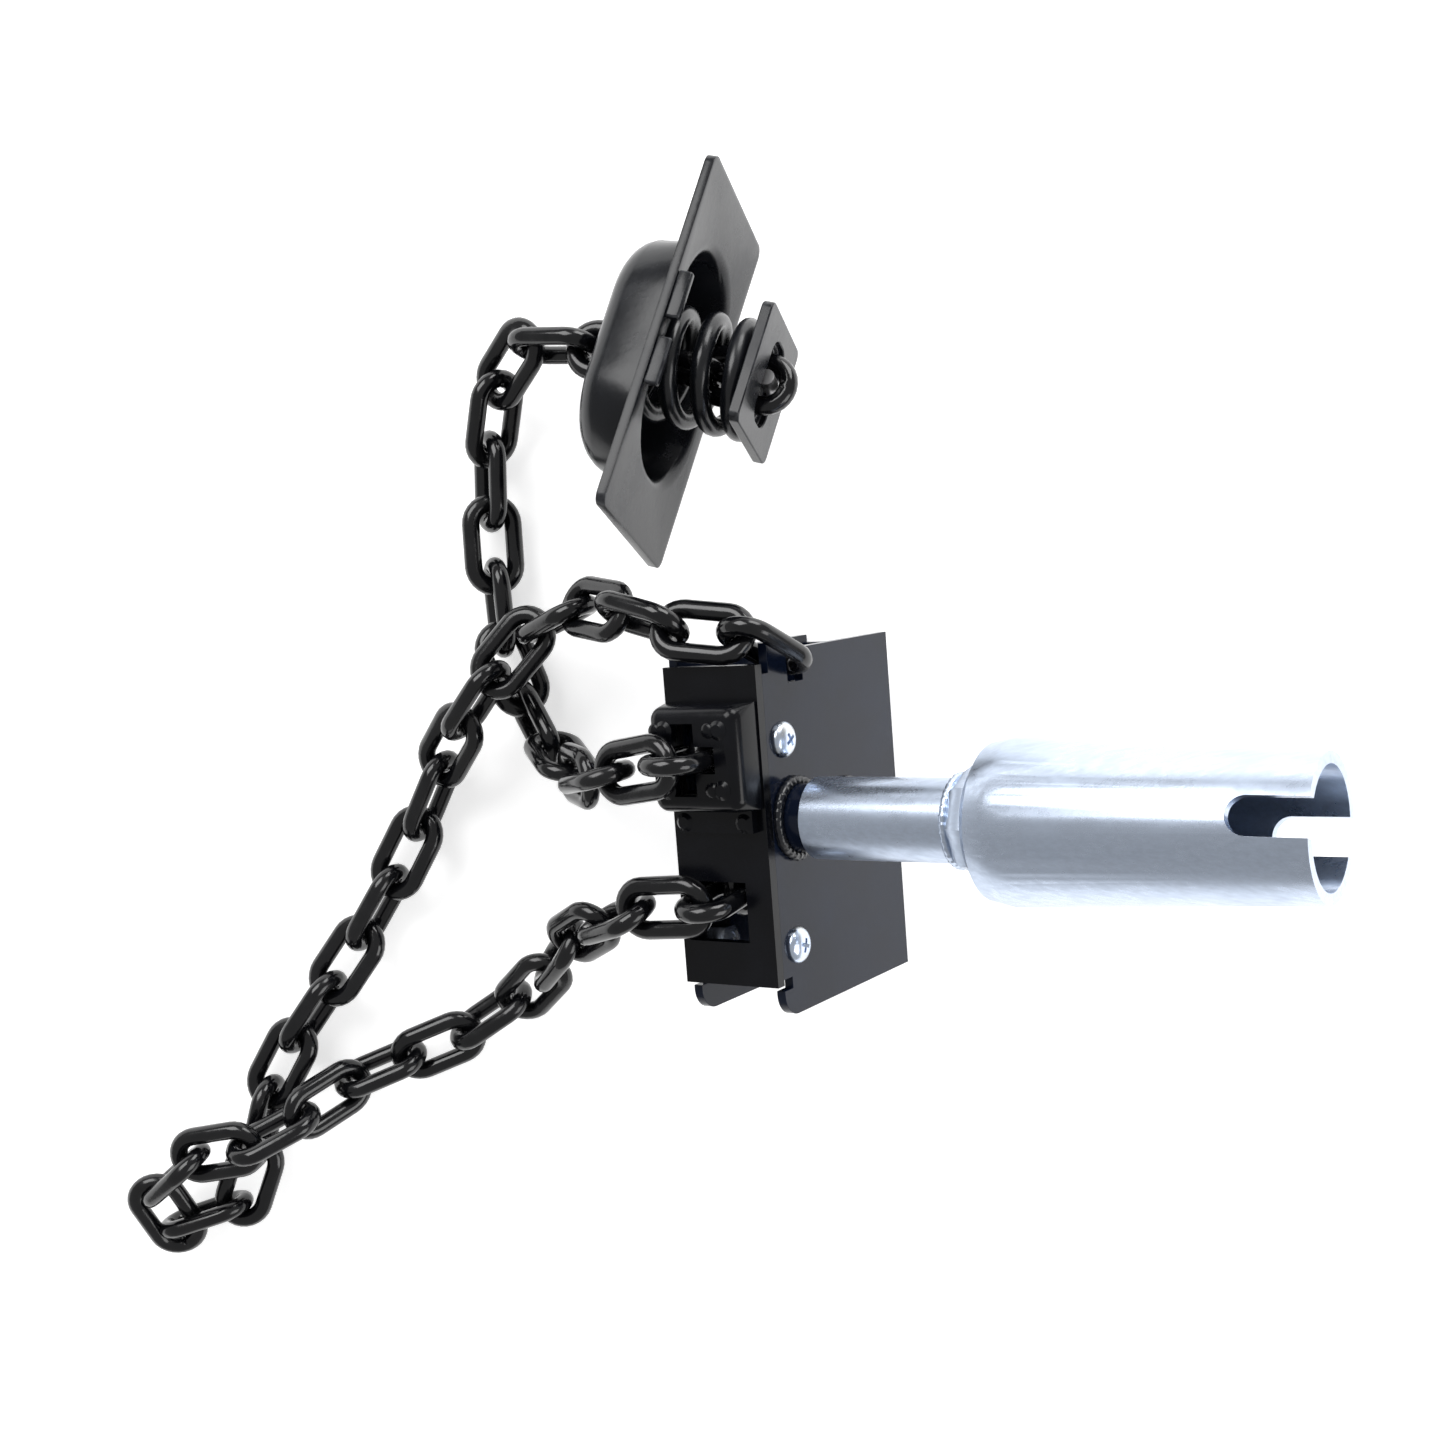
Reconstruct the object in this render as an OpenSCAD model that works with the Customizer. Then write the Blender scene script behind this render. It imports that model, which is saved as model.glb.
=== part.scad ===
// Spare wheel chain hoist: a hand-cranked pocket-wheel winch with a sprung wheel retainer.
// The origin is the centre of the mounting face on the back of the housing. The crank shaft
// runs along X and rises by lay_tilt, because the hoist lies on its back edge on the table.

/* [Lay on the table] */
// Angle that the crank shaft rises above the table, degrees
lay_tilt = 32; // [20:1:40]

/* [Housing] */
// Clear width between the two side plates
house_w = 23; // [22.5:0.5:30]
// Depth of the side plates, mounting face to front edge
house_d = 65; // [64:1:75]
// Height of the side plates above the crank shaft
house_up = 43; // [40:1:55]
// Height of the side plates below the crank shaft
house_down = 50; // [46:1:62]
// Thickness of the side plates
plate_t = 2.5; // [2:0.1:3]
// Thickness of the front cover and the back wall
cover_t = 3; // [2:0.5:3.5]
// Radius of the mounting screws' clearance holes
mount_hole_r = 4.25; // [3.2:0.05:4.5]

/* [Chain guide] */
// Side of the square chain guide
guide_w = 27; // [25:0.5:28]
// Height that the chain guide stands off the front cover
guide_h = 10; // [8:0.5:14]
// Sheet thickness of the chain guide
guide_t = 2.5; // [2:0.1:3]

/* [Gears] */
// Gear module
gear_m = 1.35; // [1.3:0.05:1.4]
// Teeth on the pinion
pinion_teeth = 10; // [10:1:11]
// Teeth on the wheel gear
wheel_teeth = 28; // [27:1:29]
// Face width of both gears
gear_w = 4.5; // [3:0.25:4.75]
// Radial clearance of every running fit
fit_gap = 0.05; // [0.02:0.01:0.1]

/* [Crank drive] */
// Outer radius of the drive tube
tube_r = 10.5; // [10:0.25:12]
// Inner radius of the drive tube, where the crank's tip pilots
tube_bore_r = 8; // [7.5:0.25:8.5]
// Outer radius of the crank socket at its closed end
socket_r = 20.4; // [18:0.2:24]
// Outer radius of the crank socket at its mouth
socket_mouth_r = 17; // [15.5:0.25:18]
// Wall of the crank socket
socket_wall = 2.8; // [2:0.1:3.5]
// Length of the crank socket
socket_len = 83; // [70:1:100]
// Length of the drive tube outside the housing boss
tube_len = 49; // [40:1:60]
// Width of the two open slots in the socket's mouth
slot_w = 9; // [7:0.5:11]
// Length of the two open slots
slot_len = 18; // [12:1:26]

/* [Chain] */
// Wire diameter of the links
link_wire = 5; // [4.6:0.1:5.2]
// Inner length of a link, the chain's pitch
link_pitch = 18.5; // [18:0.1:19]
// Outer width of a link
link_w = 17; // [16.5:0.1:17.5]

/* [Wheel retainer] */
// Length of the retainer plate
plate_l = 96; // [85:1:120]
// Width of the retainer plate
plate_w = 54; // [50:1:70]
// Sheet thickness of the retainer plate
dish_t = 2.5; // [2:0.1:3]
// Length of the dish pressed in the plate
dish_l = 66; // [60:1:76]
// Width of the dish
dish_w = 45; // [40:1:48]
// Depth of the dish
dish_h = 18; // [14:1:22]
// Side of the square end plate
end_s = 33; // [30:1:38]
// Thickness of the end plate
end_t = 3; // [2:0.5:4]
// Clear height between the retainer plate and the end plate
end_gap = 20; // [17:1:26]
// Wire diameter of the retainer spring
spring_wire = 5.2; // [4:0.2:6]
// Outer diameter of the retainer spring
spring_od = 32; // [28:1:34]

/* [Hidden] */
$fn = 48;

black = [0.07, 0.075, 0.09];
zinc = [0.78, 0.81, 0.84];
steel = [0.55, 0.56, 0.58];
brass = [0.72, 0.58, 0.3];

// Housing planes, measured from its middle along X
in_x = house_w / 2;
out_x = in_x + plate_t;
front_z = house_d + cover_t;
cover_up = house_up - 2.5;
cover_down = house_down - 8.5;
tab_rise = 2.5;
tab_deep_front = 3;
notch_z = house_d - 19.5;
notch_w = 7.5;
notch_deep = 8.5;

clip_gap = 0.3;
clip_t = 1;
stub = 2.4;

// Shafts: the wheel's axle lies a set depth behind the front edge, the crank shaft a centre distance before it
centres = gear_m * (pinion_teeth + wheel_teeth) / 2;
wheel_z = house_d - 36.65;
drive_z = wheel_z + centres;
gear_gap = 1;
gear_x = in_x - gear_gap - gear_w;
shaft_r = 4;
journal_r = 5;
bush_r = 6.5;
disc_t = 1.5;
disc_r = 9;
disc_x = -out_x - 0.3 - disc_t;
shaft_clip_x = disc_x - 1.8 - clip_t;
boss_r = 8.8;
boss_len = 6.6;
tube_x = out_x + boss_len + 0.4;
tube_end_x = tube_x + tube_len;
socket_x = tube_end_x - 2;
plug_len = 18;
plug_step = 0.4;
axle_r = 4.5;
wheel_hub_r = 8;

// Chain on the wheel: three pockets, so six links a turn, flat and upright by turns
link_r = (link_w - link_wire) / 2;
wire_r = link_wire / 2;
end_reach = link_pitch / 2 + wire_r;
arc_reach = (link_pitch + 2 * link_wire - link_w) / 2;
step_len = link_pitch - 0.3;
flat_r = (end_reach * cos(60) + arc_reach + 0.7) / sin(60);
up_r = flat_r * cos(60) + end_reach * sin(60) - 0.2;
wheel_turn = 13;
chain_x = (gear_x - in_x) / 2;
wheel_rim_r = centres - shaft_r - 0.65;
pocket_z = flat_r - wire_r - 1.1;
pocket_half = link_pitch / 2 + link_wire + 1.1;
groove_r = up_r - link_w / 2 - 0.4;
low_lean = 8;

// Retainer place: its plate's centre and turn, in the row frame
ret_pos = [-36.4, 116.9, 31.4];
ret_turn = [73, 15.5, 68.5];
end_floor = 1.2;
pin_r = 2.1;
pin_z = end_gap + end_floor + pin_r;
links_out = 3;

// ---------- placing helpers ----------
module hoist() { rotate([0, -lay_tilt, 0]) children(); }
module along_x(x, y = 0, z = 0) { translate([x, y, z]) rotate([0, 90, 0]) children(); }
module retainer() { translate(ret_pos) rotate(ret_turn) children(); }

function turn_y(p) = [p[0] * cos(lay_tilt) - p[2] * sin(lay_tilt), p[1], p[0] * sin(lay_tilt) + p[2] * cos(lay_tilt)];
function rot_x(p, a) = [p[0], p[1] * cos(a) - p[2] * sin(a), p[1] * sin(a) + p[2] * cos(a)];
function rot_y(p, a) = [p[0] * cos(a) + p[2] * sin(a), p[1], -p[0] * sin(a) + p[2] * cos(a)];
function rot_z(p, a) = [p[0] * cos(a) - p[1] * sin(a), p[0] * sin(a) + p[1] * cos(a), p[2]];
function from_retainer(p) = ret_pos + rot_z(rot_y(rot_x(p, ret_turn[0]), ret_turn[1]), ret_turn[2]);
function unit(v) = v / norm(v);

// ---------- chain ----------
module half_loop() {
    rotate([0, 0, -90]) rotate_extrude(angle = 180) translate([link_r, 0]) circle(r = wire_r);
}
// One link along X, its width along Y
module link() {
    bar = 2 * arc_reach;
    translate([bar / 2, 0, 0]) half_loop();
    translate([-bar / 2, 0, 0]) rotate([0, 0, 180]) half_loop();
    for (side = [-1, 1]) translate([-bar / 2, side * link_r, 0]) rotate([0, 90, 0]) cylinder(r = wire_r, h = bar);
}
// A link's place is its centre, its direction of travel and its width's direction
module link_at(a) {
    n = cross(a[1], a[2]);
    c = a[0];
    d = a[1];
    w = a[2];
    multmatrix([[d[0], w[0], n[0], c[0]], [d[1], w[1], n[1], c[1]], [d[2], w[2], n[2], c[2]], [0, 0, 0, 1]]) link();
}
function square_to(v, d) = unit(v - d * (v * d));
// The link after a that leads off along dir, hinged in the wire end it can turn about
function next_link(a, dir) = let (d = unit(dir), n = cross(a[1], a[2]), e = d - a[1], flat = abs(e * a[2]) > abs(e * n))
    [a[0] + (flat ? arc_reach * a[1] + (0.6 + end_reach) * d : (0.6 + end_reach) * a[1] + arc_reach * d), d, square_to(n, d)];
function backward(a) = [a[0], -a[1], a[2]];
function tip(a) = a[0] + a[1] * step_len / 2;
function tail(a) = a[0] - a[1] * step_len / 2;
// Points of a smooth curve through the route's points, each [x, y, z, roll]
function bend(a, b, c, d, t) = 0.5 * (2 * b + (c - a) * t + (2 * a - 5 * b + 4 * c - d) * t * t
    + (3 * b - a - 3 * c + d) * t * t * t);
fine = 8;
function curve(p) = let (n = len(p)) [
    for (i = [0 : n - 2]) for (k = [0 : fine - 1])
        bend(p[max(i - 1, 0)], p[i], p[i + 1], p[min(i + 2, n - 1)], k / fine), p[n - 1]
];
function xyz(p) = [p[0], p[1], p[2]];
// Running length at each point of a curve
function lengths(c, i = 0, so_far = 0, out = []) = i == len(c) ? out
    : let (s = i == 0 ? 0 : so_far + norm(xyz(c[i]) - xyz(c[i - 1]))) lengths(c, i + 1, s, concat(out, [s]));
function place_at(c, l, s, i = 1) = (l[i] >= s || i == len(c) - 1)
    ? let (t = (s - l[i - 1]) / max(l[i] - l[i - 1], 1e-6)) c[i - 1] + (c[i] - c[i - 1]) * min(t, 1)
    : place_at(c, l, s, i + 1);
// Contact points a chain step apart along a route, spread so that both ends are met
function contacts(p) = let (c = curve(p), l = lengths(c), all = l[len(l) - 1], n = round(all / (link_pitch - 0.5)))
    [for (k = [0 : n]) place_at(c, l, all * k / n)];
// The level direction across the travel d, turned by roll about it
function across_at(d, roll) = let (h = unit(cross([0, 0, 1], d)), v = cross(d, h)) h * cos(roll) + v * sin(roll);
// How far a bend moves the next link, as links turn in their own plane about one end, out of it about the other
function bend_shift(a, b) = let (e = b[1] - a[1], n = cross(a[1], a[2]))
    (end_reach - arc_reach) / 2 * ((e * a[2]) * a[2] - (e * n) * n);
function running(v, i = 0, sum = [0, 0, 0], out = []) = i == len(v) ? out
    : running(v, i + 1, sum + v[i], concat(out, [sum + v[i]]));
// The links between the link a and the link z, along the points in mid, first and last roll given
function strand(a, z, mid, roll_a, roll_z) = let (
    c = contacts(concat([concat(tip(a), [roll_a])], mid, [concat(tail(z), [roll_z])])),
    n = len(c) - 1,
    raw = [for (k = [0 : n - 1]) let (d = unit(xyz(c[k + 1]) - xyz(c[k])))
        [(xyz(c[k]) + xyz(c[k + 1])) / 2, d, across_at(d, (c[k][3] + c[k + 1][3]) / 2 + 90 * ((k + 1) % 2))]],
    full = concat([a], raw, [z]),
    sums = running([for (k = [0 : n]) bend_shift(full[k], full[k + 1])])
) [for (k = [0 : n - 1]) [raw[k][0] + sums[k] - sums[n] * (k + 1) / (n + 1), raw[k][1], raw[k][2]]];

// Links on the wheel, counted by their angle from the top, and the straight runs to and from it
function spoke(a) = [0, cos(a), -sin(a)];
function travel(a) = [0, -sin(a), -cos(a)];
hub = [chain_x, 0, wheel_z];
function upright(a) = [hub + up_r * spoke(a), travel(a), spoke(a)];
function flatwise(a) = [hub + flat_r * spoke(a), travel(a), [1, 0, 0]];
first_up = upright(wheel_turn);
last_up = upright(wheel_turn + 120);
in_end = first_up[0] - travel(wheel_turn) * arc_reach + [0, 0, end_reach - 0.7];
out_end = last_up[0] + travel(wheel_turn + 120) * arc_reach + [0, 0, end_reach - 0.7];
low_dir = [0, -sin(low_lean), cos(low_lean)];
low_up = [out_end + [0, 0, end_reach] + low_dir * (0.7 + arc_reach), low_dir, cross(low_dir, [1, 0, 0])];
guide_link = [in_end + [0, 0, 2 * step_len], [0, 0, -1], [1, 0, 0]];
slot_link = [low_up[0] + low_dir * step_len, low_dir, [1, 0, 0]];
guide_y = in_end[1];
slot_low_y = slot_link[0][1] - 3;
wrapped = [
    guide_link, [in_end + [0, 0, step_len], [0, 0, -1], [0, 1, 0]], [in_end, [0, 0, -1], [1, 0, 0]], first_up,
    flatwise(wheel_turn + 60), last_up, [out_end, [0, 0, 1], [1, 0, 0]], low_up, slot_link
];
function in_row(a) = [turn_y(a[0]), turn_y(a[1]), turn_y(a[2])];

// The link hooked on the side plate's tab
hook_dir = unit([-0.25, 0.5, 0.83]);
hook_end = [in_x + plate_t + 0.5, house_up - 3, notch_z + notch_w - 0.8];
hook_link = [hook_end + hook_dir * link_pitch / 2, hook_dir, square_to([1, 0, 0], hook_dir)];

// Links inside the retainer, from the end pin out through the dish
ret_axis = from_retainer([0, 0, -1]) - ret_pos;
function ret_link(k) = [
    from_retainer([0, 0, pin_z + pin_r + 0.1 - link_pitch / 2 - k * step_len]), ret_axis,
    from_retainer(k % 2 == 0 ? [1, 0, 0] : [0, 1, 0]) - ret_pos
];
ret_links = [for (k = [0 : links_out - 1]) ret_link(k)];

// Free strands in the row frame: [x, y, z, roll], the last number in degrees
work_first = next_link(backward(in_row(guide_link)), [-0.76, -0.15, -0.63]);
work_last = backward(next_link(ret_links[links_out - 1], [-0.88, 0.1, -0.46]));
slack_first = next_link(in_row(hook_link), [-0.938, 0.138, -0.316]);
slack_last = backward(next_link(in_row(slot_link), [-0.85, -0.05, -0.42]));
work_mid = [
    [-71, 12, 38, 5], [-77, 13, 22, -25], [-83, 19, 7, -55], [-88, 29, 1, -68], [-93, 40, 1, -70],
    [-95, 52, 1, -70], [-95, 65, 1, -70], [-95, 78, 1, -70], [-94, 92, 1, -65], [-93, 105, 2, -50], [-89, 117, 7, -30]
];
slack_mid = [
    [-63, 56, 41, 20], [-73, 57, 27, 5], [-82, 52, 18, 10], [-92, 42, 18, 20], [-101, 31, 15, 20],
    [-110, 20, 5, 20], [-117, 9, 1, 20], [-123, -3, 1, 20], [-138, -27, 1, 20], [-151, -44, 1, 20],
    [-165, -62, 1, 20], [-174, -77, 1, 20], [-178, -90, 1, 5], [-181, -102, 1, 0], [-188, -111, 1, 0],
    [-199, -114, 1, 0], [-207, -107, 3, 0], [-206, -97, 8, 0], [-198, -90, 14, 0], [-187, -88, 18, 10],
    [-175, -86, 18, 20], [-161, -80, 12, 20], [-150, -75, 3, 20], [-135, -70, 1, 20], [-123, -66, 1, 20],
    [-110, -61, 1, 20], [-97, -52, 3, 20], [-86, -40, 15, 15], [-76, -29, 30, 8]
];

module chain_wrapped() {
    color(black) for (a = wrapped) link_at(in_row(a));
}
module anchor_link() {
    color(black) link_at(in_row(hook_link));
}
module chain_slack() {
    color(black) {
        link_at(slack_first);
        for (a = strand(slack_first, slack_last, slack_mid, 30, 6)) link_at(a);
        link_at(slack_last);
    }
}
module chain_working() {
    color(black) {
        link_at(work_first);
        for (a = strand(work_first, work_last, work_mid, 10, -18)) link_at(a);
        link_at(work_last);
    }
}
module end_links() {
    color(black) for (a = ret_links) link_at(a);
}

// ---------- housing ----------
// Side outline as [depth, height]; drawn flat and stood up by side_plate
module side_outline(hook) {
    difference() {
        union() {
            translate([0, -house_down + 6]) square([house_d, house_up + house_down - 6]);
            translate([0, -house_down]) square([house_d - 6, 6]);
            translate([house_d - 6, -house_down + 6]) circle(r = 6);
            if (hook) translate([notch_z + notch_w, house_up - 1]) square([house_d - notch_z - notch_w - tab_deep_front, tab_rise + 1]);
        }
        if (hook) translate([notch_z, house_up - notch_deep]) square([notch_w, notch_deep + 1]);
        if (hook) translate([house_d - tab_deep_front, house_up - 5]) square([tab_deep_front + 1, 10]);
        translate([house_d - 4, -cover_down - 1.5]) square([5, 3]);
    }
}
// Stands a flat [depth, height] outline up between two X planes
module stand(x, t) {
    translate([x, 0, 0]) multmatrix([[0, 0, 1, 0], [0, 1, 0, 0], [1, 0, 0, 0], [0, 0, 0, 1]]) linear_extrude(height = t) children();
}
right_screws = [[20.5, house_d - 7.5], [-cover_down + 9, house_d - 7.5]];
left_screws = [[cover_up - 7.5, house_d - 7.5], [-cover_down + 9, house_d - 7.5]];
screw_r = 2.4;
screw_hole_r = 2.7;
module right_plate() {
    color(black) hoist() difference() {
        stand(in_x, plate_t) side_outline(true);
        along_x(in_x - 1, 0, drive_z) cylinder(r = bush_r, h = plate_t + 2);
        along_x(in_x - 1, 0, wheel_z) cylinder(r = axle_r, h = plate_t + 2);
        for (p = right_screws) along_x(in_x - 1, p[0], p[1]) cylinder(r = screw_hole_r, h = plate_t + 2);
    }
}
module left_plate() {
    color(black) hoist() difference() {
        stand(-out_x, plate_t) side_outline(false);
        along_x(-out_x - 1, 0, drive_z) cylinder(r = bush_r, h = plate_t + 2);
        along_x(-out_x - 1, 0, wheel_z) cylinder(r = axle_r, h = plate_t + 2);
        for (p = left_screws) along_x(-out_x - 1, p[0], p[1]) cylinder(r = screw_hole_r, h = plate_t + 2);
    }
}
mount_y = [house_up - 9, -house_down + 11];
module back_wall() {
    color(black) hoist() difference() {
        translate([-in_x, -house_down + 2, 0]) cube([2 * in_x, house_up + house_down - 4, cover_t]);
        for (y = mount_y) translate([0, y, -1]) cylinder(r = mount_hole_r, h = cover_t + 2);
    }
}
nut_h = 6.5;
module mount_nuts() {
    color(steel) hoist() for (y = mount_y) translate([0, y, cover_t]) difference() {
        cylinder(r = mount_hole_r + 3.2, h = nut_h, $fn = 6);
        translate([0, 0, -1]) cylinder(r = mount_hole_r - 0.85, h = nut_h + 2);
    }
}
tab_t = 2;
tab_deep = 12;
module screw_tab(x, y) {
    translate([x, y - 6, house_d - tab_deep]) cube([tab_t, 12, tab_deep + 0.5]);
}
module front_cover() {
    color(black) hoist() difference() {
        union() {
            translate([-out_x, -cover_down, house_d]) cube([2 * out_x, cover_up + cover_down, cover_t]);
            for (p = right_screws) screw_tab(in_x - 0.1 - tab_t, p[0]);
            for (p = left_screws) screw_tab(-in_x + 0.1, p[0]);
        }
        translate([chain_x - link_w / 2 - 1, guide_y - link_w / 2 - 1, house_d - 1]) cube([link_w + 2, link_w + 2, cover_t + 2]);
        translate([chain_x - link_w / 2 - 0.6, slot_low_y - 8, house_d - 1]) cube([link_w + 1.2, 15.6, cover_t + 2]);
        for (p = right_screws) along_x(in_x - 4, p[0], p[1]) cylinder(r = screw_r, h = 5);
        for (p = left_screws) along_x(-in_x - 1, p[0], p[1]) cylinder(r = screw_r, h = 5);
        for (x = [-1, 1]) translate([x * lip_rivet_x, lip_rivet_y, house_d - 1]) cylinder(r = rivet_r, h = cover_t + 2);
    }
}
rivet_r = 1.5;
rivets = [for (x = [-1, 1], y = [-1, 1]) [x * (guide_w / 2 - guide_t - rivet_r - 1.3), guide_y + y * 7.5]];
lip_rivet_x = 9;
lip_rivet_y = guide_y - guide_w / 2 - 3.5;
module cross_hole(h) {
    translate([-link_w / 2 - 0.7, -wire_r - 0.9, 0]) cube([link_w + 1.4, link_wire + 1.8, h]);
    translate([-wire_r - 0.9, -link_w / 2 - 0.7, 0]) cube([link_wire + 1.8, link_w + 1.4, h]);
}
module chain_guide() {
    r = 3.5;
    color(black) hoist() translate([0, guide_y, front_z]) difference() {
        union() {
            hull() {
                translate([-guide_w / 2, -guide_w / 2, 0]) cube([guide_w, guide_w, 1]);
                for (x = [-1, 1], y = [-1, 1]) translate([x * (guide_w / 2 - r), y * (guide_w / 2 - r), guide_h - r]) sphere(r = r, $fn = 24);
            }
            translate([-guide_w / 2 + 2, -guide_w / 2 - 6, 0]) cube([guide_w - 4, 8, guide_t]);
        }
        translate([-guide_w / 2 + guide_t, -guide_w / 2 + guide_t, -1]) cube([guide_w - 2 * guide_t, guide_w - 2 * guide_t, guide_h - guide_t + 1]);
        translate([chain_x, 0, -1]) cross_hole(guide_h + 2);
        for (p = rivets) translate([p[0], p[1] - guide_y, 0]) cylinder(r = rivet_r, h = guide_h + 1);
        for (x = [-1, 1]) translate([x * lip_rivet_x, lip_rivet_y - guide_y, -1]) cylinder(r = rivet_r, h = guide_t + 2);
    }
}
insert_t = 3;
insert_z = front_z + guide_h - guide_t - insert_t;
module guide_insert() {
    color(steel) hoist() translate([0, guide_y, insert_z]) difference() {
        translate([-guide_w / 2 + guide_t, -guide_w / 2 + guide_t, 0]) cube([guide_w - 2 * guide_t, guide_w - 2 * guide_t, insert_t]);
        translate([chain_x, 0, -1]) cross_hole(insert_t + 2);
        for (p = rivets) translate([p[0], p[1] - guide_y, -1]) cylinder(r = rivet_r, h = insert_t + 2);
    }
}
module rivet(h) {
    cylinder(r = rivet_r, h = h);
    translate([0, 0, h]) cylinder(r1 = rivet_r + 1, r2 = rivet_r, h = 0.8);
    translate([0, 0, -0.8]) cylinder(r1 = rivet_r, r2 = rivet_r + 1, h = 0.8);
}
module guide_rivets() {
    color(steel) hoist() for (p = rivets) translate([p[0], p[1], insert_z]) rivet(insert_t + guide_t);
}
module lip_rivets() {
    color(steel) hoist() for (x = [-1, 1]) translate([x * lip_rivet_x, lip_rivet_y, house_d]) rivet(cover_t + guide_t);
}
cover_nut_h = 3;
module cover_nut() {
    difference() {
        cylinder(r = 4.4, h = cover_nut_h, $fn = 6);
        translate([0, 0, -1]) cylinder(r = screw_r, h = cover_nut_h + 2);
    }
}
module cover_nuts() {
    color(steel) hoist() {
        for (p = right_screws) along_x(in_x - 0.1 - tab_t - cover_nut_h, p[0], p[1]) cover_nut();
        for (p = left_screws) along_x(-in_x + 0.1 + tab_t, p[0], p[1]) cover_nut();
    }
}
// Pan-head cross-recess screw, its head standing along +Z from the origin
module screw(shank) {
    difference() {
        union() {
            cylinder(r = 4.7, h = 1.3);
            translate([0, 0, 1.3]) cylinder(r1 = 4.7, r2 = 3.1, h = 1.3);
        }
        for (a = [0, 90]) rotate([0, 0, a]) translate([-2.4, -0.55, 1]) cube([4.8, 1.1, 2]);
    }
    translate([0, 0, -shank]) cylinder(r = screw_r, h = shank);
}
module housing_screws() {
    reach = plate_t + 0.1 + tab_t + cover_nut_h - 0.1;
    color(zinc) hoist() {
        for (p = right_screws) translate([out_x, p[0], p[1]]) rotate([0, 90, 0]) rotate([0, 0, 30]) screw(reach);
        for (p = left_screws) translate([-out_x, p[0], p[1]]) rotate([0, -90, 0]) rotate([0, 0, 15]) screw(reach);
    }
}

// ---------- shafts and bearings in the housing ----------
module shaft_boss() {
    color(black) hoist() along_x(out_x, 0, drive_z) difference() {
        cylinder(r = boss_r, h = boss_len);
        translate([0, 0, -1]) cylinder(r = bush_r, h = boss_len + 2);
    }
}
module boss_weld() {
    color(black) hoist() along_x(out_x, 0, drive_z) rotate_extrude() polygon([[boss_r, 0], [boss_r + 2, 0], [boss_r + 1.4, 1.2], [boss_r, 2.4]]);
}
module right_bush() {
    color(brass) hoist() along_x(in_x - 0.6, 0, drive_z) difference() {
        union() {
            cylinder(r = bush_r, h = plate_t + boss_len + 0.6);
            cylinder(r = bush_r + 1.2, h = 0.6);
        }
        translate([0, 0, -1]) cylinder(r = journal_r + fit_gap, h = plate_t + boss_len + 3);
    }
}
module left_bush() {
    color(brass) hoist() along_x(-out_x, 0, drive_z) difference() {
        cylinder(r = bush_r, h = plate_t);
        translate([0, 0, -1]) cylinder(r = shaft_r + fit_gap, h = plate_t + 3);
    }
}
module clip(r) {
    difference() {
        cylinder(r = r + 2.4, h = clip_t);
        translate([0, 0, -1]) cylinder(r = r, h = clip_t + 2);
        translate([0, -r * 0.6, -1]) cube([r + 4, r * 1.2, clip_t + 2]);
    }
}
module wheel_axle() {
    color(steel) hoist() along_x(-out_x - stub, 0, wheel_z) cylinder(r = axle_r, h = 2 * (out_x + stub));
}
module axle_clips() {
    color(steel) hoist() {
        along_x(out_x + clip_gap, 0, wheel_z) clip(axle_r);
        along_x(-out_x - clip_gap - clip_t, 0, wheel_z) clip(axle_r);
    }
}

// ---------- gears ----------
pressure = 25;
flank_steps = 6;
tooth_clear = 0.12;
function inv(a) = tan(a) - a * PI / 180;
// Half-angle of a tooth at radius r, in degrees, for the shifted involute with backlash taken off
function half_tooth(r, z, shift) = let (rp = gear_m * z / 2, rb = rp * cos(pressure), a = acos(min(1, rb / max(r, rb))))
    (PI / 2 / z + 2 * shift * tan(pressure) / z + inv(pressure) - inv(a)) * 180 / PI - tooth_clear / rp * 180 / PI;
function gear_outline(z, shift) = let (
    rp = gear_m * z / 2, top = rp + gear_m * (0.9 + shift), low = rp - gear_m * (1.15 - shift), rb = rp * cos(pressure),
    start = max(low, rb)
) [for (k = [0 : z - 1]) let (mid = 360 * k / z) each concat(
    [low * [cos(mid - half_tooth(start, z, shift)), sin(mid - half_tooth(start, z, shift))]],
    [for (i = [0 : flank_steps]) let (r = start + (top - start) * i / flank_steps, h = half_tooth(r, z, shift)) r * [cos(mid - h), sin(mid - h)]],
    [for (i = [flank_steps : -1 : 0]) let (r = start + (top - start) * i / flank_steps, h = half_tooth(r, z, shift)) r * [cos(mid + h), sin(mid + h)]],
    [low * [cos(mid + half_tooth(start, z, shift)), sin(mid + half_tooth(start, z, shift))]]
)];
tooth_shift = 0.25;
// The pinion's tooth points at the wheel, along -Z of the housing, which is +X of the drawing turned
module pinion_shaft() {
    color(steel) hoist() along_x(0, 0, drive_z) {
        translate([0, 0, gear_x]) linear_extrude(height = gear_w) polygon(gear_outline(pinion_teeth, tooth_shift));
        translate([0, 0, shaft_clip_x - 1]) cylinder(r = shaft_r, h = gear_x + 1.5 - shaft_clip_x);
        translate([0, 0, gear_x + gear_w - 0.5]) cylinder(r = journal_r, h = tube_x + plug_len - gear_x - gear_w + 0.5);
    }
}
module wheel_gear() {
    gap_turn = 180 + (wheel_teeth % 2 == 0 ? 180 / wheel_teeth : 0);
    color(steel) hoist() along_x(gear_x, 0, wheel_z) difference() {
        rotate([0, 0, gap_turn]) linear_extrude(height = gear_w) polygon(gear_outline(wheel_teeth, -tooth_shift));
        translate([0, 0, -1]) cylinder(r = wheel_hub_r, h = gear_w + 2);
    }
}
module shaft_clip() {
    color(steel) hoist() along_x(shaft_clip_x, 0, drive_z) clip(shaft_r);
}
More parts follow.
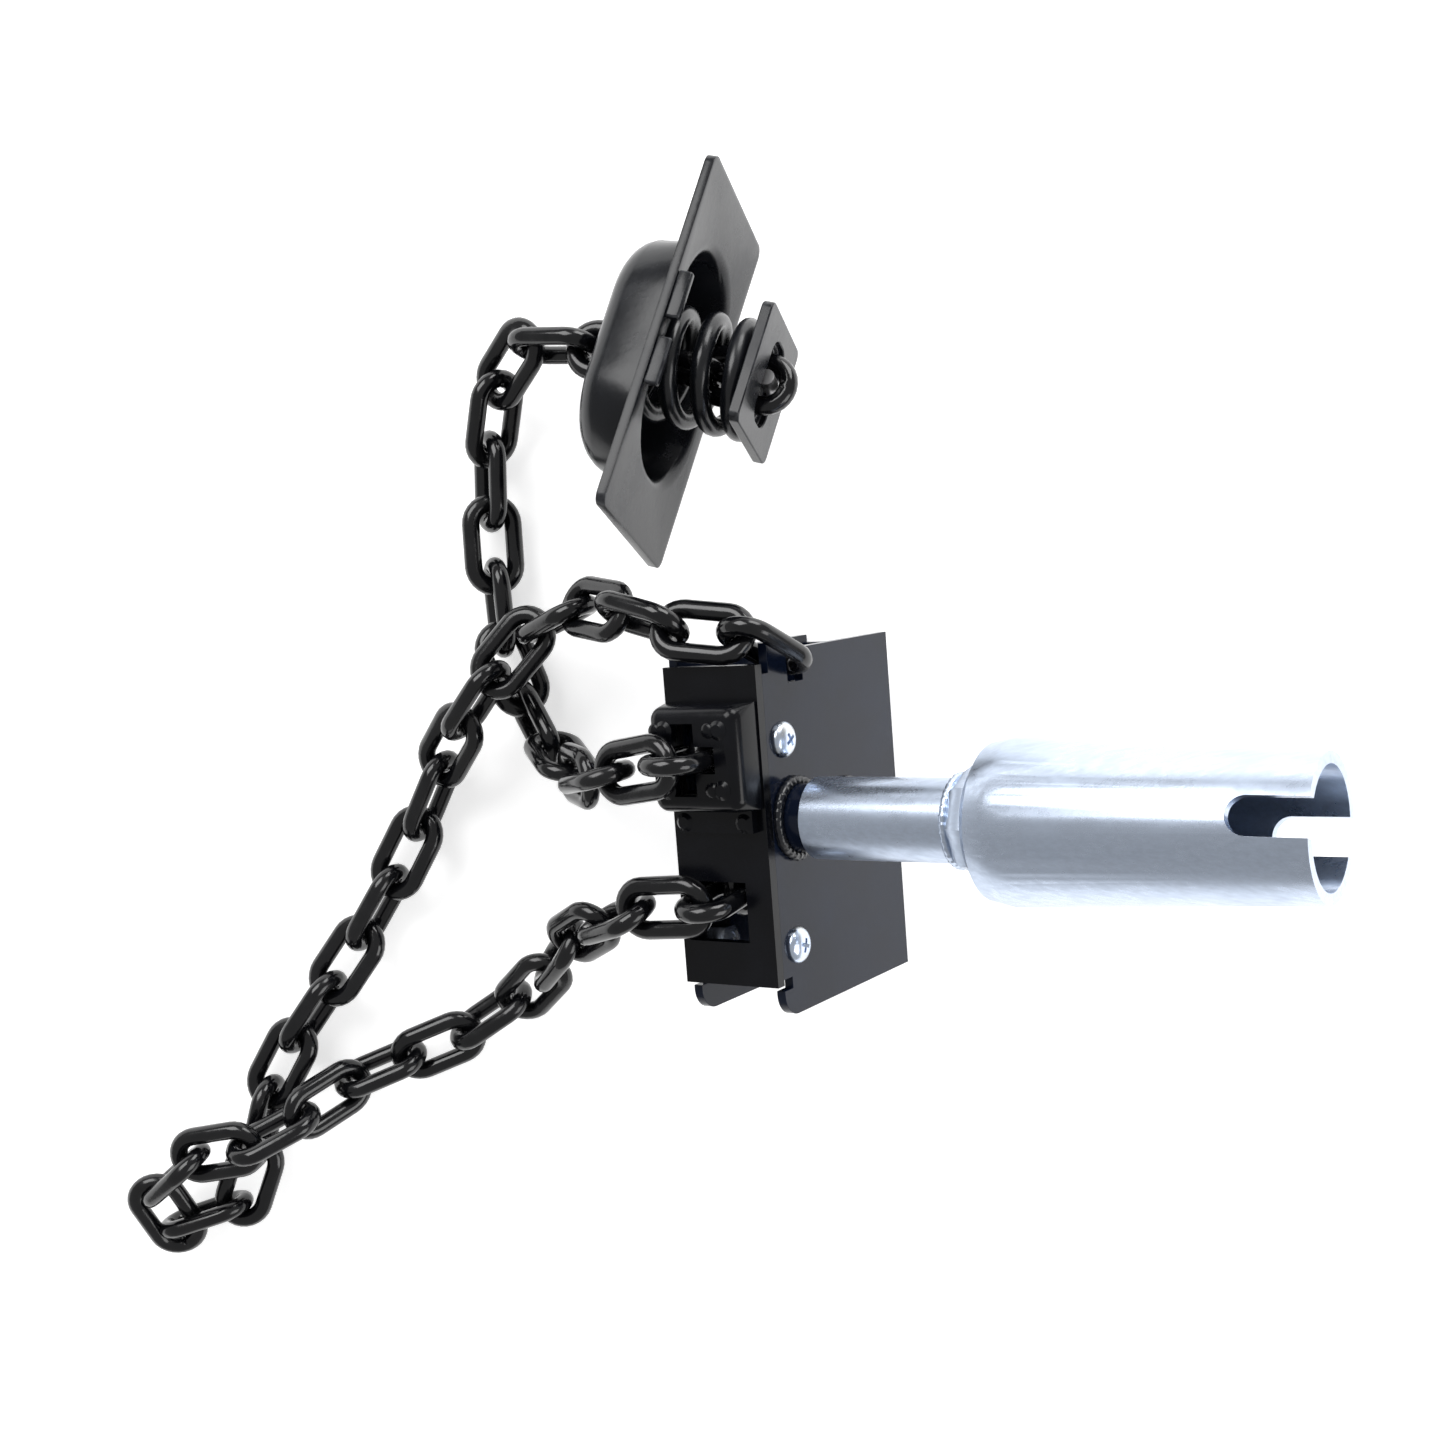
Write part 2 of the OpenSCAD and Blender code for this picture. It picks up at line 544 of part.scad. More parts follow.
module friction_disc() {
    color([0.35, 0.25, 0.18]) hoist() along_x(disc_x, 0, drive_z) difference() {
        cylinder(r = disc_r - 1, h = disc_t);
        translate([0, 0, -1]) cylinder(r = shaft_r, h = disc_t + 2);
    }
}
module disc_spring() {
    color(steel) hoist() along_x(disc_x - 1.75, 0, drive_z) rotate_extrude()
        polygon([[shaft_r, 0], [shaft_r, 0.8], [disc_r - 2, 1.7], [disc_r - 2, 0.9]]);
}

// ---------- chain wheel ----------
wheel_x = -in_x + 0.6;
wheel_len = gear_x - wheel_x - 0.4;
module chain_wheel() {
    mid = chain_x - wheel_x;
    color(steel) hoist() along_x(wheel_x, 0, wheel_z) difference() {
        union() {
            cylinder(r = wheel_rim_r, h = wheel_len);
            cylinder(r = wheel_hub_r, h = wheel_len + gear_w + 0.4);
        }
        translate([0, 0, -1]) cylinder(r = axle_r + fit_gap, h = house_w);
        // The groove that the upright links run in
        translate([0, 0, mid - wire_r - 0.45]) difference() {
            cylinder(r = wheel_rim_r + 1, h = link_wire + 0.9);
            translate([0, 0, -1]) cylinder(r = groove_r, h = link_wire + 3);
        }
        // Three pockets that the flat links lie in
        for (a = pocket_turns) rotate([0, 0, a]) translate([pocket_z, -pocket_half, -1]) cube([wheel_rim_r, 2 * pocket_half, wheel_len + 1.01]);
    }
}
// The wrapped links lying flat face these ways from the wheel's centre: +X here is -Z of the housing
pocket_turns = [30 - wheel_turn, 150 - wheel_turn, 270 - wheel_turn];
module wheel_washers() {
    color(brass) hoist() {
        along_x(-in_x + 0.05, 0, wheel_z) washer(0.35);
        along_x(gear_x + gear_w + 0.3, 0, wheel_z) washer(gear_gap - 0.4);
    }
}
module washer(t) {
    difference() {
        cylinder(r = axle_r + 2.8, h = t);
        translate([0, 0, -1]) cylinder(r = axle_r + fit_gap, h = t + 2);
    }
}

// ---------- crank drive ----------
module drive_tube() {
    color(zinc) hoist() along_x(tube_x, 0, drive_z) difference() {
        cylinder(r = tube_r, h = tube_len);
        translate([0, 0, -1]) cylinder(r = tube_bore_r, h = tube_len + 2);
        translate([0, 0, -1]) cylinder(r = tube_bore_r + plug_step, h = plug_len + 1);
    }
}
module tube_plug() {
    color(steel) hoist() along_x(tube_x, 0, drive_z) difference() {
        cylinder(r = tube_bore_r + plug_step, h = plug_len);
        translate([0, 0, -1]) cylinder(r = journal_r, h = plug_len + 2);
    }
}
module socket_tube() {
    neck = 9;
    color(zinc) hoist() along_x(socket_x, 0, drive_z) difference() {
        rotate_extrude($fn = 64) polygon([
            [tube_r, 0], [socket_r - 4.5, 0.6], [socket_r - 1.2, 3], [socket_r, neck],
            [socket_mouth_r, socket_len], [socket_mouth_r - socket_wall, socket_len],
            [socket_r - socket_wall, neck + 1], [socket_r - socket_wall - 2, 5], [tube_r, 4]
        ]);
        rotate([0, 0, -18]) for (a = [0, 180]) rotate([0, 0, a]) translate([0, 0, socket_len - slot_len + slot_w / 2]) {
            translate([0, -slot_w / 2, 0]) cube([socket_r + 2, slot_w, slot_len]);
            rotate([0, 90, 0]) cylinder(r = slot_w / 2, h = socket_r + 2);
        }
    }
}
// Crimped and welded collar where the drive tube enters the socket
module socket_collar() {
    color(zinc) hoist() along_x(socket_x - 6, 0, drive_z) difference() {
        union() {
            cylinder(r1 = tube_r + 1, r2 = tube_r + 3, h = 3, $fn = 8);
            translate([0, 0, 3]) cylinder(r = tube_r + 3, h = 2.8, $fn = 8);
        }
        translate([0, 0, -1]) cylinder(r = tube_r, h = 9);
    }
}

// ---------- wheel retainer ----------
module rounded(l, w, r, h) {
    translate([-l / 2 + r, -w / 2, 0]) cube([l - 2 * r, w, h]);
    translate([-l / 2, -w / 2 + r, 0]) cube([l, w - 2 * r, h]);
    for (x = [-1, 1], y = [-1, 1]) translate([x * (l / 2 - r), y * (w / 2 - r), 0]) cylinder(r = r, h = h);
}
// The dish as a solid: full size at its mouth, drawn in and rounded at its floor
module dish(l, w, h) {
    r = min(w / 2 - 0.5, 20);
    edge = 5;
    hull() {
        for (x = [-1, 1], y = [-1, 1]) translate([x * (l / 2 - r), y * (w / 2 - r), -0.5]) cylinder(r = r, h = 0.5, $fn = 48);
        for (x = [-1, 1], y = [-1, 1]) translate([x * (l / 2 - r), y * (w / 2 - r), -h + edge]) {
            cylinder(r = r - 1, h = 0.5, $fn = 48);
            translate([0, 0, -edge * 0.65]) cylinder(r = r - 2.6, h = 0.5, $fn = 48);
            translate([0, 0, -edge]) cylinder(r = r - 6, h = 0.5, $fn = 48);
        }
    }
}
hole_r = link_w / 2 + 1;
module retainer_plate() {
    color(black) retainer() difference() {
        union() {
            translate([0, 0, -dish_t]) rounded(plate_l, plate_w, 3, dish_t);
            translate([0, 0, -dish_t + 0.01]) dish(dish_l, dish_w, dish_h);
            for (x = [-1, 1]) translate([x * 9 - 6.5, plate_w / 2 - dish_t, -0.01]) cube([13, dish_t, 4]);
        }
        translate([0, 0, 0.02]) dish(dish_l - 2 * dish_t, dish_w - 2 * dish_t, dish_h);
        translate([0, 0, -dish_h - dish_t - 2]) cylinder(r = hole_r, h = dish_h + 4);
    }
}
end_slot_l = 22;
module end_plate() {
    color(black) retainer() translate([0, 0, end_gap]) difference() {
        rounded(end_s, end_s, 2.5, end_t);
        translate([0, 0, end_floor]) rounded(end_slot_l, 12, 4.4, end_t);
        translate([0, 0, -3]) rounded(link_w + 1.4, link_wire + 1.2, 3, end_t + 5);
    }
}
module end_pin() {
    color(steel) retainer() translate([0, 0, pin_z]) rotate([90, 0, 0]) translate([0, 0, -5.5]) cylinder(r = pin_r, h = 11);
}
// Compression spring from the dish floor to the end plate, its end turns closed
spring_low = -dish_h + spring_wire / 2 + 0.05;
spring_high = end_gap - spring_wire / 2 - 0.05;
spring_turns = 5;
spring_rings = 20;
module retainer_spring() {
    sides = 10;
    n = spring_turns * spring_rings;
    rad = (spring_od - spring_wire) / 2;
    // The rise is slow on the first and last turn, where the ends are closed
    rise = [for (i = [0 : n]) let (t = i / spring_rings, u = min(max((t - 0.7) / (spring_turns - 1.4), 0), 1)) u];
    end_lift = spring_wire * 0.35;
    mid = [for (i = [0 : n]) let (a = 360 * i / spring_rings) [
        rad * cos(a), rad * sin(a), spring_low + (spring_high - spring_low - 2 * end_lift) * rise[i] + end_lift * i / n * 2
    ]];
    pts = [for (i = [0 : n]) for (j = [0 : sides - 1]) let (
        a = 360 * i / spring_rings, b = 360 * j / sides, out = [cos(a), sin(a), 0]
    ) mid[i] + spring_wire / 2 * (cos(b) * out + sin(b) * [0, 0, 1])];
    walls = [for (i = [0 : n - 1]) for (j = [0 : sides - 1]) let (k = (j + 1) % sides)
        [i * sides + j, i * sides + k, (i + 1) * sides + k, (i + 1) * sides + j]];
    caps = [[for (j = [sides - 1 : -1 : 0]) j], [for (j = [0 : sides - 1]) n * sides + j]];
    color(black) retainer() polyhedron(points = pts, faces = concat(walls, caps));
}

right_plate();
left_plate();
back_wall();
mount_nuts();
front_cover();
chain_guide();
guide_insert();
guide_rivets();
lip_rivets();
cover_nuts();
housing_screws();
shaft_boss();
boss_weld();
right_bush();
left_bush();
wheel_axle();
axle_clips();
pinion_shaft();
shaft_clip();
friction_disc();
disc_spring();
tube_plug();
drive_tube();
socket_tube();
socket_collar();
chain_wheel();
wheel_gear();
wheel_washers();
chain_wrapped();
anchor_link();
chain_slack();
chain_working();
end_links();
end_plate();
end_pin();
retainer_spring();
retainer_plate();
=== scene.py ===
"""Looks of a spare wheel chain hoist: housing, crank drive, chain and sprung wheel retainer."""

import math

import bmesh
import bpy
from mathutils import Euler, Matrix, Vector, noise


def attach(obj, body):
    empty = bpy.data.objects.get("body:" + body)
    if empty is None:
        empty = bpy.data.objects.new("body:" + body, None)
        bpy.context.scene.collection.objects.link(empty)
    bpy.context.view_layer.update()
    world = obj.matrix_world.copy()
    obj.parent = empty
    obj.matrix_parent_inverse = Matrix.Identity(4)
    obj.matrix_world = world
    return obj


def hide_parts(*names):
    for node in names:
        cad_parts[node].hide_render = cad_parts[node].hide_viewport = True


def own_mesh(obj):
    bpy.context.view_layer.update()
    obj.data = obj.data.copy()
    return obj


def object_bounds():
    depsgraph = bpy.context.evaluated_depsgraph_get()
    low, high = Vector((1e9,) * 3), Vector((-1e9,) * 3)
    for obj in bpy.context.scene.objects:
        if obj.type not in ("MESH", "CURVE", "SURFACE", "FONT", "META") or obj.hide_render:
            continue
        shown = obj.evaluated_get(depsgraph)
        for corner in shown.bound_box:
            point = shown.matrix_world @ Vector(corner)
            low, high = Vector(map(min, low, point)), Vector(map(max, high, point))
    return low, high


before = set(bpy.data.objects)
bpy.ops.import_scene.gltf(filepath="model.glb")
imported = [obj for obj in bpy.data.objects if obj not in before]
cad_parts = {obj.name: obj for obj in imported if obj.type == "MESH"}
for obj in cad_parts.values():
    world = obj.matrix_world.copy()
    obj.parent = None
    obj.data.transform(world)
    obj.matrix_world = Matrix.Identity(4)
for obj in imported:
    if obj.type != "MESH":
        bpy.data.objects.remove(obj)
cad_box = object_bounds()

bl_info = {
    "name": "Spare Wheel Chain Hoist",
    "version": (1, 0, 0),
    "blender": (4, 5, 0),
    "location": "View3D > Sidebar > Hoist",
    "description": "Builds the looks of a hand-cranked chain hoist round its CAD frame",
    "category": "Object",
}

MM = 0.001

# ---------- sizes that the CAD source holds too, in metres ----------
LAY_TILT = math.radians(32)
HOUSE_W = 28 * MM
HOUSE_D = 65 * MM
COVER_T = 3 * MM
FRONT_Z = HOUSE_D + COVER_T
GUIDE_W = 27 * MM
GUIDE_H = 10 * MM
GUIDE_T = 2.5 * MM
LINK_WIRE = 5 * MM
LINK_PITCH = 18.5 * MM
LINK_WIDTH = 17 * MM
STEP = LINK_PITCH - 0.3 * MM
END_REACH = LINK_PITCH / 2 + LINK_WIRE / 2
ARC_REACH = (LINK_PITCH + 2 * LINK_WIRE - LINK_WIDTH) / 2
DRIVE_Z = 54 * MM
WHEEL_Z = 28.35 * MM
WHEEL_TURN = 13
CHAIN_X = -2.75 * MM
LOW_LEAN = 8
BOSS_R = 8.8 * MM
TUBE_R = 10.5 * MM
SOCKET_X = 68 * MM
RET_POS = Vector((-36.4, 116.9, 31.4)) * MM
RET_TURN = Euler((math.radians(73), math.radians(15.5), math.radians(68.5)), "XYZ")
RET_PIN_Z = 23.3 * MM
RET_PIN_R = 2.1 * MM
PLATE_L = 96 * MM
PLATE_W = 54 * MM
DISH_T = 2.5 * MM
DISH_L = 66 * MM
DISH_W = 45 * MM
DISH_H = 18 * MM
HOLE_R = 9.5 * MM
END_GAP = 20 * MM
SPRING_WIRE = 5.2 * MM
SPRING_OD = 32 * MM
SPRING_TURNS = 5

HOIST = Matrix.Rotation(-LAY_TILT, 4, "Y")
RETAINER = Matrix.Translation(RET_POS) @ RET_TURN.to_matrix().to_4x4()

# Free strands: x, y, z of each point in metres, and the roll of the links in degrees
WORK_MID = [
    (-0.071, 0.012, 0.038, 5), (-0.077, 0.013, 0.022, -25), (-0.083, 0.019, 0.007, -55),
    (-0.088, 0.029, 0.001, -68), (-0.093, 0.040, 0.001, -70), (-0.095, 0.052, 0.001, -70),
    (-0.095, 0.065, 0.001, -70), (-0.095, 0.078, 0.001, -70), (-0.094, 0.092, 0.001, -65),
    (-0.093, 0.105, 0.002, -50), (-0.089, 0.117, 0.007, -30),
]
SLACK_MID = [
    (-0.063, 0.056, 0.041, 20), (-0.073, 0.057, 0.027, 5), (-0.082, 0.052, 0.018, 10),
    (-0.092, 0.042, 0.018, 20), (-0.101, 0.031, 0.015, 20), (-0.110, 0.020, 0.005, 20),
    (-0.117, 0.009, 0.001, 20), (-0.123, -0.003, 0.001, 20), (-0.138, -0.027, 0.001, 20),
    (-0.151, -0.044, 0.001, 20), (-0.165, -0.062, 0.001, 20), (-0.174, -0.077, 0.001, 20),
    (-0.178, -0.090, 0.001, 5), (-0.181, -0.102, 0.001, 0), (-0.188, -0.111, 0.001, 0),
    (-0.199, -0.114, 0.001, 0), (-0.207, -0.107, 0.003, 0), (-0.206, -0.097, 0.008, 0),
    (-0.198, -0.090, 0.014, 0), (-0.187, -0.088, 0.018, 10), (-0.175, -0.086, 0.018, 20),
    (-0.161, -0.080, 0.012, 20), (-0.150, -0.075, 0.003, 20), (-0.135, -0.070, 0.001, 20),
    (-0.123, -0.066, 0.001, 20), (-0.110, -0.061, 0.001, 20), (-0.097, -0.052, 0.003, 20),
    (-0.086, -0.040, 0.015, 15), (-0.076, -0.029, 0.030, 8),
]


class HoistSizes(bpy.types.PropertyGroup):
    """Sizes of the pieces that the CAD frame leaves to the looks"""

    bevel: bpy.props.FloatProperty(
        name="Edge rounding", description="Rounding of sheared sheet edges", default=0.45 * MM, unit="LENGTH")
    weld_bead: bpy.props.FloatProperty(
        name="Weld bead", description="Radius of the weld beads", default=1.5 * MM, unit="LENGTH")
    weld_ripples: bpy.props.IntProperty(
        name="Weld ripples", description="Ripples round the boss weld", default=30, min=8)
    wire_sides: bpy.props.IntProperty(
        name="Wire sides", description="Sides of a chain link's round wire", default=14, min=8)
    focal: bpy.props.FloatProperty(
        name="Lens", description="Focal length of the camera, in mm", default=49.75)


class HoistColours(bpy.types.PropertyGroup):
    """Base colours of the finishes"""

    # Near-black housing paint; its blue tint is a painted sheen, standing in for the blue-grey reflection on the
    # black gloss
    paint: bpy.props.FloatVectorProperty(
        name="Paint", description="Black paint of the housing", subtype="COLOR", size=3,
        default=(0.0035, 0.0060, 0.0150))
    cover: bpy.props.FloatVectorProperty(
        name="Cover", description="Black of the front cover", subtype="COLOR", size=3,
        default=(0.0016, 0.0018, 0.0028))
    chain: bpy.props.FloatVectorProperty(
        name="Chain", description="Black oiled chain", subtype="COLOR", size=3,
        default=(0.0022, 0.0024, 0.0032))
    retainer: bpy.props.FloatVectorProperty(
        name="Retainer", description="Satin black of the wheel retainer", subtype="COLOR", size=3,
        default=(0.0045, 0.0052, 0.0070))
    zinc: bpy.props.FloatVectorProperty(
        name="Zinc", description="Bright zinc plate", subtype="COLOR", size=3, default=(0.60, 0.68, 0.82))
    steel: bpy.props.FloatVectorProperty(
        name="Steel", description="Bare steel", subtype="COLOR", size=3, default=(0.50, 0.50, 0.51))
    bronze: bpy.props.FloatVectorProperty(
        name="Bronze", description="Sintered bronze", subtype="COLOR", size=3, default=(0.62, 0.42, 0.20))


def sizes():
    return bpy.context.scene.hoist_sizes


def colours():
    return bpy.context.scene.hoist_colours


# ---------- shader groups and materials ----------
def link(tree, start, end):
    tree.links.new(start, end)


def shader_group(name, inputs, outputs):
    """An empty shader group with named float inputs and outputs, and its two end nodes"""
    tree = bpy.data.node_groups.new(name, "ShaderNodeTree")
    for label, value in inputs:
        tree.interface.new_socket(label, in_out="INPUT", socket_type="NodeSocketFloat").default_value = value
    for label in outputs:
        tree.interface.new_socket(label, in_out="OUTPUT", socket_type="NodeSocketFloat")
    return tree, tree.nodes.new("NodeGroupInput"), tree.nodes.new("NodeGroupOutput")


def scaled_noise(tree, scale_from, detail, rough=0.55, stretch=None):
    """Noise on Object coordinates, its scale linked from a socket"""
    coords = tree.nodes.new("ShaderNodeTexCoord")
    out = coords.outputs["Object"]
    if stretch:
        mapping = tree.nodes.new("ShaderNodeMapping")
        mapping.inputs["Rotation"].default_value = (0, LAY_TILT, 0)
        mapping.inputs["Scale"].default_value = stretch
        link(tree, out, mapping.inputs["Vector"])
        out = mapping.outputs["Vector"]
    grain = tree.nodes.new("ShaderNodeTexNoise")
    grain.inputs["Detail"].default_value = detail
    grain.inputs["Roughness"].default_value = rough
    link(tree, out, grain.inputs["Vector"])
    link(tree, scale_from, grain.inputs["Scale"])
    return grain.outputs["Fac"]


def ramp(tree, value, low, high):
    """Stretches a value from low...high to 0...1"""
    node = tree.nodes.new("ShaderNodeMapRange")
    node.inputs["From Min"].default_value = low
    node.inputs["From Max"].default_value = high
    link(tree, value, node.inputs["Value"])
    return node.outputs["Result"]


def maths(tree, kind, a, b):
    node = tree.nodes.new("ShaderNodeMath")
    node.operation = kind
    for socket, value in zip(node.inputs, (a, b)):
        if isinstance(value, (int, float)):
            socket.default_value = value
        else:
            link(tree, value, socket)
    return node.outputs[0]


def make_groups():
    """Edge wear, coat relief, scuffs and brushed grain, shared by the finishes"""
    tree, start, end = shader_group("Edge Wear", [("Scale", 260.0), ("Amount", 0.5)], ["Mask"])
    edge = tree.nodes.new("ShaderNodeAttribute")
    edge.attribute_name = "edge"
    broken = ramp(tree, scaled_noise(tree, start.outputs["Scale"], 5.0), 0.42, 0.62)
    worn = maths(tree, "MULTIPLY", edge.outputs["Fac"], broken)
    link(tree, maths(tree, "MULTIPLY", worn, start.outputs["Amount"]), end.inputs["Mask"])

    tree, start, end = shader_group("Coat Relief", [("Scale", 700.0), ("Grit", 2600.0)], ["Height"])
    peel = scaled_noise(tree, start.outputs["Scale"], 1.5)
    grit = scaled_noise(tree, start.outputs["Grit"], 3.0)
    fine_grit = maths(tree, "MULTIPLY", grit, 0.25)
    link(tree, maths(tree, "ADD", fine_grit, peel), end.inputs["Height"])

    tree, start, end = shader_group("Scuffs", [("Scale", 45.0), ("Low", 0.45), ("High", 0.75)], ["Mask"])
    patch = scaled_noise(tree, start.outputs["Scale"], 8.0, 0.65)
    span = tree.nodes.new("ShaderNodeMapRange")
    link(tree, patch, span.inputs["Value"])
    link(tree, start.outputs["Low"], span.inputs["From Min"])
    link(tree, start.outputs["High"], span.inputs["From Max"])
    link(tree, span.outputs["Result"], end.inputs["Mask"])

    tree, start, end = shader_group("Brushed Grain", [("Scale", 900.0)], ["Fac"])
    link(tree, scaled_noise(tree, start.outputs["Scale"], 4.0, 0.6, (0.03, 1.0, 1.0)), end.inputs["Fac"])


def group_node(tree, name, **values):
    node = tree.nodes.new("ShaderNodeGroup")
    node.node_tree = bpy.data.node_groups[name]
    for label, value in values.items():
        node.inputs[label.capitalize()].default_value = value
    return node


def mixed(tree, mask, a, b):
    """A colour between a and b by mask; a and b are colours or sockets"""
    node = tree.nodes.new("ShaderNodeMix")
    node.data_type = "RGBA"
    link(tree, mask, node.inputs["Factor"])
    for socket, value in ((node.inputs[6], a), (node.inputs[7], b)):
        if hasattr(value, "links"):
            link(tree, value, socket)
        else:
            socket.default_value = (*value, 1)
    return node.outputs[2]


def between(tree, mask, low, high):
    node = tree.nodes.new("ShaderNodeMapRange")
    node.inputs["To Min"].default_value = low
    node.inputs["To Max"].default_value = high
    link(tree, mask, node.inputs["Value"])
    return node.outputs["Result"]


def finish(name, colour, second, rough, metal=0.0, coat=0.0, wear=0.0, worn=(0.30, 0.31, 0.33), relief=0.02,
           relief_scale=700.0, scuff_scale=45.0, brushed=0.0, specular=0.5):
    """A procedural finish: two tones by scuffs, roughness by scuffs and grain, relief, and worn edges"""
    mat = bpy.data.materials.new(name)
    mat.use_nodes = True
    tree = mat.node_tree
    shader = tree.nodes["Principled BSDF"]
    shader.inputs["Specular IOR Level"].default_value = specular
    shader.inputs["Coat Roughness"].default_value = 0.06
    shader.inputs["Coat Weight"].default_value = coat
    scuffs = group_node(tree, "Scuffs", scale=scuff_scale)
    mask = scuffs.outputs["Mask"]
    base = mixed(tree, mask, colour, second)
    roughness = between(tree, mask, rough[0], rough[1])
    if brushed:
        grain = group_node(tree, "Brushed Grain")
        streaks = ramp(tree, grain.outputs["Fac"], 0.35, 0.65)
        base = mixed(tree, maths(tree, "MULTIPLY", streaks, brushed), base, tuple(0.72 * c for c in colour))
        roughness = maths(tree, "ADD", roughness, maths(tree, "MULTIPLY", streaks, 0.12 * brushed))
    if wear:
        edges = group_node(tree, "Edge Wear", amount=wear)
        base = mixed(tree, edges.outputs["Mask"], base, worn)
        metal = between(tree, edges.outputs["Mask"], metal, 1.0)
    link(tree, base, shader.inputs["Base Color"])
    link(tree, roughness, shader.inputs["Roughness"])
    if isinstance(metal, (int, float)):
        shader.inputs["Metallic"].default_value = metal
    else:
        link(tree, metal, shader.inputs["Metallic"])
    coat_relief = group_node(tree, "Coat Relief", scale=relief_scale)
    bump = tree.nodes.new("ShaderNodeBump")
    bump.inputs["Strength"].default_value = 1.0
    bump.inputs["Distance"].default_value = relief * MM
    link(tree, coat_relief.outputs["Height"], bump.inputs["Height"])
    link(tree, bump.outputs["Normal"], shader.inputs["Normal"])
    return mat


def make_finishes():
    c = colours()
    tone = lambda colour, k: tuple(min(1.0, k * v) for v in colour)
    # Housing finish: near-black paint, both tones tinted blue as a painted sheen for the reflection on the black
    # gloss
    finish("Housing Paint With Painted Sheen", tuple(c.paint), (0.006, 0.011, 0.026), (0.14, 0.26),
           wear=0.12, relief=0.012, specular=0.22)
    finish("Cover Paint", tuple(c.cover), (0.003, 0.0035, 0.006), (0.18, 0.32),
           wear=0.10, relief=0.010, specular=0.25)
    finish("Retainer Paint", tuple(c.retainer), (0.009, 0.010, 0.014), (0.22, 0.38),
           wear=0.12, relief=0.02, specular=0.35)
    finish("Oiled Chain", tuple(c.chain), (0.006, 0.006, 0.007), (0.12, 0.28),
           relief=0.03, relief_scale=420.0, scuff_scale=120.0)
    finish("Spring Black", tone(c.retainer, 0.8), tone(c.retainer, 1.7), (0.22, 0.38), relief=0.02)
    finish("Zinc Bright", tuple(c.zinc), (0.47, 0.55, 0.67), (0.24, 0.40), metal=1.0, relief=0.012,
           relief_scale=330.0, scuff_scale=30.0, brushed=0.5)
    finish("Zinc Screw", tone(c.zinc, 1.1), (0.62, 0.60, 0.52), (0.22, 0.34), metal=1.0, relief=0.01,
           scuff_scale=160.0)
    finish("Weld Black", (0.005, 0.006, 0.009), (0.02, 0.02, 0.021), (0.20, 0.40),
           relief=0.04, relief_scale=900.0)
    finish("Steel Bare", tuple(c.steel), (0.30, 0.29, 0.28), (0.28, 0.45),
           metal=1.0, relief=0.015, brushed=0.35)
    finish("Steel Dark", (0.12, 0.12, 0.125), (0.06, 0.06, 0.06), (0.35, 0.5), metal=1.0, relief=0.02)
    finish("Bush Bronze", tuple(c.bronze), (0.36, 0.22, 0.10), (0.34, 0.5), metal=1.0, relief=0.02,
           relief_scale=1500.0)
    finish("Friction Lining", (0.13, 0.085, 0.055), (0.25, 0.19, 0.13), (0.75, 0.9), relief=0.08,
           relief_scale=1600.0, scuff_scale=500.0)


def paint_over(obj, material):
    obj.data.materials.clear()
    obj.data.materials.append(bpy.data.materials[material])


# ---------- mesh helpers ----------
def new_piece(name, mesh, material, body):
    obj = bpy.data.objects.new(name, mesh)
    bpy.context.scene.collection.objects.link(obj)
    paint_over(obj, material)
    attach(obj, body)
    return obj


def smooth(mesh, angle=40):
    mesh.shade_smooth()
    mesh.set_sharp_from_angle(angle=math.radians(angle))


def applied(obj):
    """The object's evaluated mesh as a plain mesh; its modifiers go"""
    bpy.context.view_layer.update()
    graph = bpy.context.evaluated_depsgraph_get()
    mesh = bpy.data.meshes.new_from_object(obj.evaluated_get(graph))
    old = obj.data
    obj.modifiers.clear()
    obj.data = mesh
    bpy.data.meshes.remove(old)
    return mesh


def mark_edges(mesh, narrow):
    """Stores 1 on the points inside a rounded edge and 0 elsewhere, for the edge wear"""
    bm = bmesh.new()
    bm.from_mesh(mesh)
    values = []
    for v in bm.verts:
        widths = [f.calc_area() / max(e.calc_length() for e in f.edges) for f in v.link_faces]
        values.append(1.0 if widths and max(widths) < narrow else 0.0)
    bm.free()
    attribute = mesh.attributes.new("edge", "FLOAT", "POINT")
    attribute.data.foreach_set("value", values)


def eased_copy(node, name, material, body, width, segments=2, angle=35):
    """A merged copy of a CAD node with rounded edges, which stands for the node"""
    bm = bmesh.new()
    bm.from_mesh(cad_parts[node].data)
    bmesh.ops.remove_doubles(bm, verts=bm.verts, dist=0.01 * MM)
    bmesh.ops.dissolve_limit(bm, angle_limit=math.radians(1.5), verts=bm.verts, edges=bm.edges)
    mesh = bpy.data.meshes.new(name)
    bm.to_mesh(mesh)
    bm.free()
    if "custom_normal" in mesh.attributes:
        mesh.attributes.remove(mesh.attributes["custom_normal"])
    mesh.shade_smooth()
    obj = bpy.data.objects.new(name, mesh)
    bpy.context.scene.collection.objects.link(obj)
    rounding = obj.modifiers.new("Rounding", "BEVEL")
    rounding.harden_normals = True
    rounding.width = width
    rounding.segments = segments
    rounding.limit_method = "ANGLE"
    rounding.angle_limit = math.radians(angle)
    rounding.use_clamp_overlap = True
    mesh = applied(obj)
    mark_edges(mesh, 0.9 * width)
    paint_over(obj, material)
    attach(obj, body)
    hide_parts(node)
    return obj


